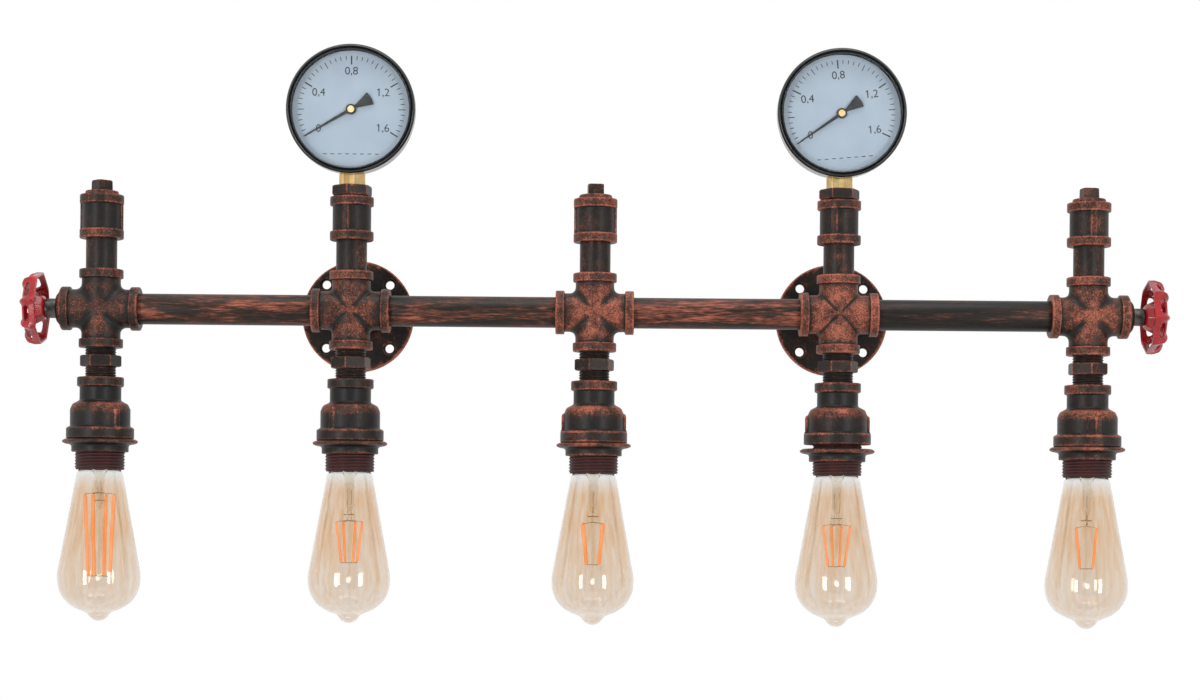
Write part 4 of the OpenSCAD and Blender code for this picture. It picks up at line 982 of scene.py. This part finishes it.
def make_gauges():
    """Gauges: an enamelled case and bezel, a pane and the dial."""
    front, back = -BEZEL_Y[0], -BEZEL_Y[1]
    opening, sleeve, seat = BEZEL_R - 4.75, CASE_R + 0.15, front - 1.6
    bezel = rounded([
        (opening, seat, 0.2), (opening, front - 0.9, 0.3), (opening + 1.0, front, 0.5),
        (BEZEL_R - 1.4, front, 1.2), (BEZEL_R, front - 1.8, 0.8), (BEZEL_R, back + 2.4, 0.4),
        (BEZEL_R - 0.5, back + 2.0, 0.2), (BEZEL_R, back + 1.5, 0.3), (BEZEL_R, back, 0.4),
        (sleeve, back, 0.2), (sleeve, seat, 0.2),
    ], closed=True)
    lip, rear = -CASE_Y[0], -CASE_Y[1]
    inside, step, floor = CASE_R - 1.4, rear + 0.8, rear + 2.4
    case = rounded([
        (0, rear), (CASE_R - 14, rear), (CASE_R - 8, rear, 4), (CASE_R - 6, step, 3), (CASE_R, step, 2.5),
        (CASE_R, lip, 0.2), (inside, lip, 0.2), (inside, floor, 1), (0, floor),
    ])
    near, far = ends("gauge_windows", Y)
    pane = flat_disc(CASE_R, -near, -far)
    face = flat_disc(DIAL_R, -DIAL_Y - 0.8, -DIAL_Y)
    for name, profile, loop, material, slot, node in (
        ("gauge_bezel_rings", bezel, True, BLACK, "black_enamel", "gauge_bezels"),
        ("gauge_case_cups", case, False, BLACK, "black_enamel", "gauge_cases"),
        ("gauge_panes", pane, False, PANE, "window_glass", "gauge_windows"),
        ("gauge_dial_plates", face, False, DIAL, "dial_paint", "gauge_dials"),
    ):
        body = turned(profile, loop=loop, count=GAUGE_ROUND)
        piece(name, [gauge_at(body, s) for s in range(2)], material, [node])


def make_gauge_sockets():
    """Brass sockets of the gauges: a hexagon on a round collar."""
    top = ends("gauge_cases", Z)[0] - 0.2
    collar_r, collar_low, collar_top = 9.4, BUSHING_TOP - 0.5, BUSHING_TOP + 0.9
    flats = hexagon(BUSHING_TOP, top, 8.8, 0.7, -15, 0)
    collar = turned(rounded([
        (0, collar_low), (collar_r, collar_low, 0.2), (collar_r, collar_top, 0.3), (0, collar_top),
    ]))
    grids = [on_lamp(grid, i) for i in FLANGE_LAMPS for grid in (flats, collar)]
    piece("gauge_socket_flats", grids, BRASS)


def bars(centres, length, width, angle, height):
    """Flat bars, one quad each: half the length and half the width are laid off from the centre.

    Length, width and angle are the same for all bars or one for each.
    """
    length, width, angle = (np.broadcast_to(v, len(centres)) for v in (length, width, angle))
    along = np.column_stack([np.cos(angle), np.sin(angle)])
    across = np.column_stack([-np.sin(angle), np.cos(angle)])
    reach = length[:, None] / 2 * along
    spread = width[:, None] / 2 * across
    corners = np.stack([[centres - reach - spread, centres - reach + spread],
                        [centres + reach - spread, centres + reach + spread]])
    flat = np.moveaxis(corners, 2, 0)
    points = np.concatenate([flat, np.full(flat.shape[:3] + (1,), height)], -1)
    return [Grid(corner_points, around=False) for corner_points in points]


def make_dial_marks():
    """Ticks, numbers and a dashed line, printed just above each dial.

    The steps run clockwise. Every tenth tick is long and bold, and every fifth is of middle
    length. The numbers stand upright inside the long ticks, and a short bar is the flag of each 1.
    """
    height = -DIAL_Y + 0.06
    outer, thin = 41.6, 0.6
    figure_size, dash_length, flag_length, flag_lean = 8.6, 2.8, 1.9, 0.72
    # Figures, how far out they stand and how far they sink towards the middle of the dial
    figures = (("0", 29.2, 0), ("0,4", 29.2, 1.6), ("0,8", 31.2, 1.6), ("1,2", 29.2, 1.6), ("1,6", 29.2, 0))
    dashes = np.array([((k - 3.5) * 5.75, -34.4) for k in range(8)])
    step = np.arange(SCALE_STEPS + 1)
    long, mid = step % 10 == 0, step % 5 == 0
    length = np.where(long, 6.6, np.where(mid, 5.0, 3.1))
    width = np.where(long, 0.95, np.where(mid, thin, 0.55))
    for s, side in enumerate(SIDES):
        turn = math.radians(DIAL_TURN[s])
        angle = math.radians(SCALE_START) - step * math.radians(SCALE_STEP) + turn
        way = np.column_stack([np.cos(angle), np.sin(angle)])
        grids = bars((outer - length / 2)[:, None] * way, length, width, angle, height)
        grids += bars(spun(dashes, turn), dash_length, thin, turn, height)
        numbers = bpy.data.meshes.new(f"dial_numbers_{side}")
        shape = bmesh.new()
        flags = []
        for (figure, reach, sink), a in zip(figures, angle[long]):
            centre = (reach * math.cos(a), reach * math.sin(a) - sink)
            corner = put_text(shape, figure, figure_size, centre, turn, height, s)
            if figure[0] == "1":
                flags.append(corner + (-0.25, -0.75))
        grids += bars(np.array(flags), flag_length, thin, turn + flag_lean, height)
        grids = [gauge_at(grid, s) for grid in grids]
        piece(f"dial_ticks_{side}", grids, INK, thickness=0.05)
        shape.to_mesh(numbers)
        shape.free()
        dressed(f"dial_numbers_{side}", numbers, INK)


def put_text(shape, words, size, centre, turn, height, side):
    """Adds figures to a mesh: the flat letters are turned, moved to their centre and set on the dial.

    The upper left corner of the figures on the dial is given back.
    """
    curve = bpy.data.curves.new("figure", "FONT")
    curve.body = words
    curve.size = size
    curve.align_x, curve.align_y = "CENTER", "CENTER"
    curve.extrude = 0.03
    thing = bpy.data.objects.new("figure", curve)
    mesh = bpy.data.meshes.new_from_object(thing)
    flat = np.empty(len(mesh.vertices) * 3)
    mesh.vertices.foreach_get("co", flat)
    flat = flat.reshape(-1, 3)
    flat[:, :2] -= (flat[:, :2].min(0) + flat[:, :2].max(0)) / 2
    corner = np.array([flat[:, 0].min(), flat[:, 1].max()])
    flat = spun(flat, turn) + (*centre, height)
    mesh.vertices.foreach_set("co", (gauge_at(Grid(flat), side).points * MM).ravel())
    shape.from_mesh(mesh)
    bpy.data.objects.remove(thing)
    bpy.data.curves.remove(curve)
    bpy.data.meshes.remove(mesh)
    return spun(corner, turn) + centre


def make_pointers():
    """Pointers: a blade that tapers to the tip and widens behind the hub to a fan, and the hub's disc.

    The half width runs straight from root to tip and from root to tail. Behind, it stays inside
    the circle of the tail's radius, and the two meet in a soft minimum, which rounds the corners.
    """
    tail, tail_w, root_w, tip_w = 17.9, 5.6, 1.35, 0.3
    disc_r, bore = 4.1, 1.35
    soft = 0.3
    for s, side in enumerate(SIDES):
        node = f"pointer_{side}"
        angle = math.radians(SCALE_START + DIAL_TURN[s])
        reach = (LAMP_X[FLANGE_LAMPS[s]] - ends(node, X)[0]) / -math.cos(angle)
        along = np.concatenate([-tail * np.cos(np.linspace(0, 1.45, 40)), np.linspace(-1, reach, 12)])
        blade = np.interp(along, (-tail, -5, 0, reach), (tail_w, root_w, root_w, tip_w))
        circle = np.sqrt(np.clip(tail ** 2 - np.minimum(along, 0) ** 2, 0, None))
        half = np.maximum(-soft * np.log(np.exp(-blade / soft) + np.exp(-circle / soft)), 0)
        half[0] = half[-1] = 0
        high, low = (-y for y in ends(node, Y))
        section = np.array([(1, low), (1, high), (-1, high), (-1, low)])
        x = np.repeat(along[:, None], len(section), 1)
        flat = spun(np.stack([x, half[:, None] * section[:, 0], 0 * x + section[:, 1]], -1), angle)
        disc = rounded([
            (bore, low), (disc_r, low, 0.2), (disc_r, high + 0.1, 0.3), (bore, high + 0.1),
        ], closed=True, steps=4)
        hub = turned(disc, loop=True, count=SMALL_ROUND)
        grids = [gauge_at(grid, s) for grid in (Grid(flat), hub)]
        piece(f"pointer_blade_{side}", grids, NEEDLE, [node], f"gauge_hand_{side}")


def holed(outline, centre, rows):
    """Patch between a hole and an outline round it.

    Each outline point is joined by a straight line to the hole's edge point in the same direction
    from the hole's centre. A row is (share, radius, height): share 1 is the outline, share 0 a
    circle of that radius.
    """
    away = outline - centre
    way = away / np.linalg.norm(away, axis=1, keepdims=True)
    points = []
    for share, radius, height in rows:
        flat = share * outline + (1 - share) * (centre + radius * way)
        points.append(np.column_stack([flat, np.full(len(flat), height)]))
    return np.array(points)


def make_flanges():
    """Round wall flanges: a plate with countersunk holes, a rounded rim and a hub for the nipple.

    Each quarter of the plate is a patch round its hole, from the back through the hole to the front.
    """
    plate, hub, rim = 6.0, 18.0, FLANGE_R - 1.6
    hole_at, hole, sink, ring = 36.0, 3.5, 5.25, 6.2
    rows = [(1, 0, 0), (0, hole, 0), (0, hole, plate - sink + hole), (0, sink, plate), (0, ring, plate),
            (0.5, sink, plate), (1, 0, plate)]
    rub = np.array([0, 0, 0, 0.4, 0, 0, 0.12])[:, None]
    quarters = []
    for k in range(4):
        arc = np.arange(ROUND // 4 + 1) * 2 * np.pi / ROUND + k * np.pi / 2
        unit = np.column_stack([np.cos(arc), np.sin(arc)])
        spoke = np.linspace(hub, rim, 8)[1:-1, None]
        outline = np.concatenate([rim * unit, spoke[::-1] * unit[-1], hub * unit[::-1], spoke * unit[0]])
        centre = hole_at * np.array([math.cos(arc.mean()), math.sin(arc.mean())])
        quarters.append(Grid(holed(outline, centre, rows), rub))
    edge = turned(rounded([
        (rim, 0), (FLANGE_R, 0, 0.5, 0.6), (FLANGE_R, plate, 1.5, 1.0), (rim, plate, 0, 0.6),
    ]))
    boss = turned(rounded([
        (hub, plate, 0, 0.3), (hub - 0.4, plate + 0.5, 0.5, 0.1), (hub - 1.0, FLANGE_HUB, EDGE, 0.75),
        (SOCKET_R, FLANGE_HUB, 0.3, 0.1), (SOCKET_R, 0, 0.3), (hub, 0),
    ]))
    for i, side in zip(FLANGE_LAMPS, SIDES):
        grids = [placed(grid, (LAMP_X[i], 0, RAIL[Z]), "viewer") for grid in quarters + [edge, boss]]
        piece(f"wall_plate_{side}", grids, FITTING, [f"wall_flange_{side}"])


def wheel_surface(angle, share, line):
    """Points of the pressed wheel's sheet at angles and shares of its half outline.

    The outline's radius is drawn in to the flats of an octagon, and a rounded rib lifts it at
    the eight corners, most of all over the crest.
    """
    rib_w, drawn, spread = 1.7, 0.88, 0.7
    at = share * (len(line) - 1)
    k = np.clip(at.astype(int), 0, len(line) - 2)
    rest = (at - k)[..., None]
    radius, height, rise = np.moveaxis(line[k] * (1 - rest) + line[k + 1] * rest, -1, 0)
    step = np.pi / 4
    off = (angle + step / 2) % step - step / 2
    flat = math.cos(step / 2) / np.cos(step / 2 - np.abs(off))
    bump = np.exp(-((off * np.maximum(radius, 1) / rib_w) ** 2)) * rise
    radius, height = radius * (1 - drawn + drawn * flat) + spread * bump, height + bump
    return np.stack([radius * np.cos(angle), radius * np.sin(angle), height], -1)


def wheel_panel(k, line, start, end, window, half_width):
    """One eighth of the wheel between two shares of its outline, with an oblong window.

    Lines run from the window's edge to the panel's outline. The window is a superellipse given by
    the shares at which it starts and ends, and half its width as a part of the panel.
    """
    power = 3.5
    a = np.arange(WHEEL_STEPS + 1) / WHEEL_STEPS
    edge = a[1:-1]
    outline = np.concatenate([
        np.column_stack([a, 0 * a]), np.column_stack([0 * edge + 1, edge]),
        np.column_stack([a[::-1], 0 * a + 1]), np.column_stack([0 * edge, edge[::-1]]),
    ])
    centre = np.array([0.5, (window.mean() - start) / (end - start)])
    half = np.array([half_width, np.ptp(window) / 2 / (end - start)])
    away = outline - centre
    reach = (np.abs(away / half) ** power).sum(1, keepdims=True) ** (1 / power)
    fade = np.linspace(0, 1, 8)[:, None, None]
    flat = (centre + away / reach) * (1 - fade) + outline * fade
    return Grid(wheel_surface((k + flat[..., 0]) * np.pi / 4, start + flat[..., 1] * (end - start), line))


def make_handwheels():
    """Pressed handwheels: hub, dished web, crest and flared rim, with windows in web and shoulder.

    The half outline is cut into even steps, and each row's rub is how high the rib stands there.
    """
    crest = ends("handwheel_right", X)[1] - 1.2
    hub_face, open_edge, crest_r, sheet = crest - 13.6, crest - 11.5, 17.0, 1.5
    line = rounded([
        (4.6, hub_face), (8.6, hub_face, 2.5), (13.4, crest - 3.2, 4, 0.3),
        (crest_r, crest - 0.8, 2, 1.0), (21.4, crest - 0.8, 3.5, 1.4), (25.2, crest - 2.9, 4.5, 1.5),
        (27.4, crest - 7.0, 4, 0.9), (27.8, open_edge, 0, 0.2),
    ], steps=8)
    length = np.concatenate([[0], np.cumsum(np.linalg.norm(np.diff(line[:, :2], axis=0), axis=1))])
    even = np.linspace(0, length[-1], 81)
    line = np.column_stack([np.interp(even, length, line[:, k]) for k in range(3)])
    radius, height = line[:, 0], line[:, 1]
    shares = np.linspace(0, 1, len(line))
    at_hub, at_crest = np.interp((9.4, crest_r), radius, shares)
    web_window = np.interp((11.2, 14.4), radius, shares)
    outer = radius > 20
    rim_window = np.interp((1.9 - crest, 6.8 - crest), -height[outer], shares[outer])
    hub_angle = np.arange(8 * WHEEL_STEPS)[None] * np.pi / 4 / WHEEL_STEPS
    hub = np.broadcast_arrays(hub_angle, np.linspace(0, at_hub, 10)[:, None])
    sheets = [Grid(wheel_surface(*hub, line))]
    for k in range(8):
        sheets.append(wheel_panel(k, line, at_hub, at_crest, web_window, 0.22))
        sheets.append(wheel_panel(k, line, at_crest, 1.0, rim_window, 0.32))
    for s, side in enumerate(SIDES):
        turn = math.radians(WHEEL_TURN[s])
        grids = [placed(grid._replace(points=spun(grid.points, turn)), RAIL, side) for grid in sheets]
        body = f"handwheel_{side}"
        piece(f"pressed_wheel_{side}", grids, RED, [body], body, SOFT_CREASE, sheet)


def make_end_bushings():
    """Bushings in the outer mouths of the end crosses, with a chamfered head."""
    bore, head, crown = 6.6, 13.2, 10.6
    grids = []
    for i, side in zip(END_LAMPS, SIDES):
        mouth = abs(LAMP_X[i]) + MOUTH
        deep = mouth - SOCKET_DEPTH
        profile = rounded([
            (bore, deep, 0.3), (PIPE_R, deep, 0.5), (PIPE_R, mouth + 0.1, 0, 0.1),
            (head, mouth + 0.1, 0.4, 0.3), (head - 0.2, mouth + 1.6, 0.6, 0.3),
            (crown, mouth + 3.5, 0.6, 0.3), (bore, mouth + 3.5, 0.3, 0.2),
        ], closed=True)
        grids.append(placed(turned(profile, loop=True), RAIL, side))
    piece("end_bushing_heads", grids, FITTING, ["end_bushings"])


def make_spindles():
    """Spindles with a collar, a sleeve behind the wheel, a square and a nut."""
    collar, core, square, tip = 8.6, 6.5, 4.0, 3.0
    for s, side in enumerate(SIDES):
        node = f"spindle_{side}"
        near, far = sorted(abs(x) for x in ends(node, X))
        sleeve = SLEEVE_R[s]
        shaft = rounded([
            (0, near), (collar, near, 0.4), (collar, near + 3, 0.4), (core, near + 3), (core, far - 15.5),
            (sleeve, far - 15.5, 0.5), (sleeve, far - 6.8, 0.6), (square, far - 6.6), (square, far - 5.1),
            (tip, far - 5.0), (tip, far, 0.5), (0, far),
        ])
        nut = hexagon(far - 5.0, far - 0.6, 5.0, 0.6, WHEEL_TURN[s], 0, tip + 0.15)
        grids = [placed(grid, RAIL, side) for grid in (turned(shaft, count=SMALL_ROUND), nut)]
        piece(f"wheel_shaft_{side}", grids, STEEL, [node], f"handwheel_{side}")


def finish_inner_nodes():
    """Materials of the CAD nodes that stay as they are."""
    finishes = {
        BRASS: ["screw_shells", "centre_contacts", "gauge_sockets", "bourdon_tubes", "movement_frames"]
        + [f"{part}_{side}" for part in ("pinion", "sector") for side in SIDES]
        + [f"bulb_cap_{i + 1}" for i in LAMPS],
        COVER: ["wiring"],
    }
    for material, nodes in finishes.items():
        for node in nodes:
            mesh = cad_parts[node].data
            mesh.materials.clear()
            mesh.materials.append(material)


def studio_sheet(name, corners, material):
    """A flat sheet of the studio, which is no piece of the lamp, from its corners in metres."""
    mesh = bpy.data.meshes.new(name)
    mesh.from_pydata(corners, [], [(0, 1, 2, 3)])
    mesh.materials.append(material)
    thing = bpy.data.objects.new(name, mesh)
    bpy.context.scene.collection.objects.link(thing)
    return thing


def make_floor():
    """A pale floor well below the lamp, in metres, that keeps the lamp's shadow.

    Reflections and glass see it white. To the camera it turns white from the middle outwards.
    """
    half, drop = 4.0, -1.7
    fade = {"From Min": 2.2, "From Max": 4.2, "To Min": 0.6}
    mat, tree, place = new_material("pale_floor")
    mottle = add(tree, "TexNoise", {"Scale": per(400), "Detail": 2}, {"Vector": place})
    colour = add(tree, "Mix", {**COLOURS, 6: linear("#eceae6"), 7: linear("#f1efec")}, {0: mottle})
    matt = {"Roughness": 0.8, "Specular IOR Level": 0.1}
    surface = add(tree, "BsdfPrincipled", matt, {"Base Color": colour})
    path = add(tree, "LightPath").outputs
    seen = add(tree, "Math", LARGER, {0: path["Is Glossy Ray"], 1: path["Is Transmission Ray"]})
    seen = add(tree, "Math", EXCEEDS, {0: seen, 1: path["Diffuse Depth"]})
    far = add(tree, "VectorMath", {"operation": "LENGTH"}, {0: place})
    pale = add(tree, "MapRange", {**EASED, **fade}, {"Value": far})
    pale = add(tree, "Math", TIMES, {0: pale, 1: path["Is Camera Ray"]})
    seen = add(tree, "Math", LARGER, {0: seen, 1: pale})
    white = add(tree, "Emission", {"Strength": 1.0})
    both = add(tree, "MixShader", links={0: seen, 1: surface, 2: white})
    add(tree, "OutputMaterial", links={"Surface": both})
    corners = [(-half, -half, drop), (half, -half, drop), (half, half, drop), (-half, half, drop)]
    studio_sheet("floor", corners, mat)


def make_dark_cloth():
    """A dark matt cloth behind the camera, in metres, which only reflections see."""
    wide, low, high, back = 1.5, -1.6, 1.1, -2.9
    mat, tree, place = new_material("dark_cloth")
    weave = add(tree, "TexNoise", {"Scale": per(300), "Detail": 2}, {"Vector": place})
    colour = add(tree, "Mix", {**COLOURS, 6: linear("#1c1c1c"), 7: linear("#262626")}, {0: weave})
    matt = {"Roughness": 1.0, "Specular IOR Level": 0.0}
    surface = add(tree, "BsdfPrincipled", matt, {"Base Color": colour})
    add(tree, "OutputMaterial", links={"Surface": surface})
    corners = [(-wide, back, low), (-wide, back, high), (wide, back, high), (wide, back, low)]
    cloth = studio_sheet("dark_cloth", corners, mat)
    for kind in ("camera", "diffuse", "transmission", "shadow"):
        setattr(cloth, f"visible_{kind}", False)


def make_surround():
    """A surround that is white to the camera, to reflections and to glass, and lights the lamp softly."""
    world = bpy.data.worlds.new("studio")
    bpy.context.scene.world = world
    world.use_nodes = True
    tree = world.node_tree
    tree.nodes.clear()
    path = add(tree, "LightPath").outputs
    seen = add(tree, "Math", LARGER, {0: path["Is Camera Ray"], 1: path["Is Glossy Ray"]})
    seen = add(tree, "Math", LARGER, {0: seen, 1: path["Is Transmission Ray"]})
    seen = add(tree, "Math", EXCEEDS, {0: seen, 1: path["Diffuse Depth"]})
    soft = add(tree, "Background", {"Color": linear("#ffffff"), "Strength": 0.25})
    white = add(tree, "Background", {"Color": linear("#ffffff"), "Strength": 1.0})
    mixed = add(tree, "MixShader", links={0: seen, 1: soft, 2: white})
    add(tree, "OutputWorld", links={"Surface": mixed})


def make_lights():
    """Two tall soft boxes in front, a wide one above and a round one by the camera: metres and watts."""
    for name, shape, place, size, power in (
        ("left_box", "RECTANGLE", (-1.95, -2.95, -0.2), (0.5, 1.9), 36),
        ("right_box", "RECTANGLE", (1.95, -2.95, -0.2), (0.5, 1.9), 33),
        ("top_box", "RECTANGLE", (0.0, -0.7, 2.0), (1.6, 1.2), 20),
        ("round_box", "DISK", (0.0, -2.8, -0.25), (0.6, 0.6), 5),
    ):
        light = bpy.data.lights.new(name, "AREA")
        light.shape = shape
        light.size, light.size_y = size
        light.energy = power
        box = bpy.data.objects.new(name, light)
        box.location = place
        box.rotation_euler = (-box.location).to_track_quat("-Z", "Y").to_euler()
        box.visible_camera = False
        bpy.context.scene.collection.objects.link(box)


def make_camera():
    """Level camera in front of the lamp, below the rail, with a small roll and a rise of the frame."""
    sensor = 36.0
    distance, width = 1900.0, 936.0
    place = (2.0, RAIL[Y] - distance, -162.0)
    roll = math.radians(-0.48)
    camera = bpy.data.cameras.new("camera")
    camera.sensor_width = sensor
    camera.lens = sensor * distance / width
    camera.shift_x = 0.0037
    camera.shift_y = 0.1421
    thing = bpy.data.objects.new("camera", camera)
    thing.location = [v * MM for v in place]
    thing.rotation_euler = (math.pi / 2, roll, 0)
    bpy.context.scene.collection.objects.link(thing)
    bpy.context.scene.camera = thing


make_camera()
make_floor()
make_dark_cloth()
make_surround()
make_lights()
make_crosses()
make_pipes()
make_couplings()
make_plugs()
make_gauge_bushings()
make_hex_nipples()
make_reducers()
make_lampholders()
make_shade_rings()
make_bulbs()
make_gauges()
make_gauge_sockets()
make_dial_marks()
make_pointers()
make_flanges()
make_handwheels()
make_end_bushings()
make_spindles()
finish_inner_nodes()
bpy.context.scene.view_settings.view_transform = "Standard"
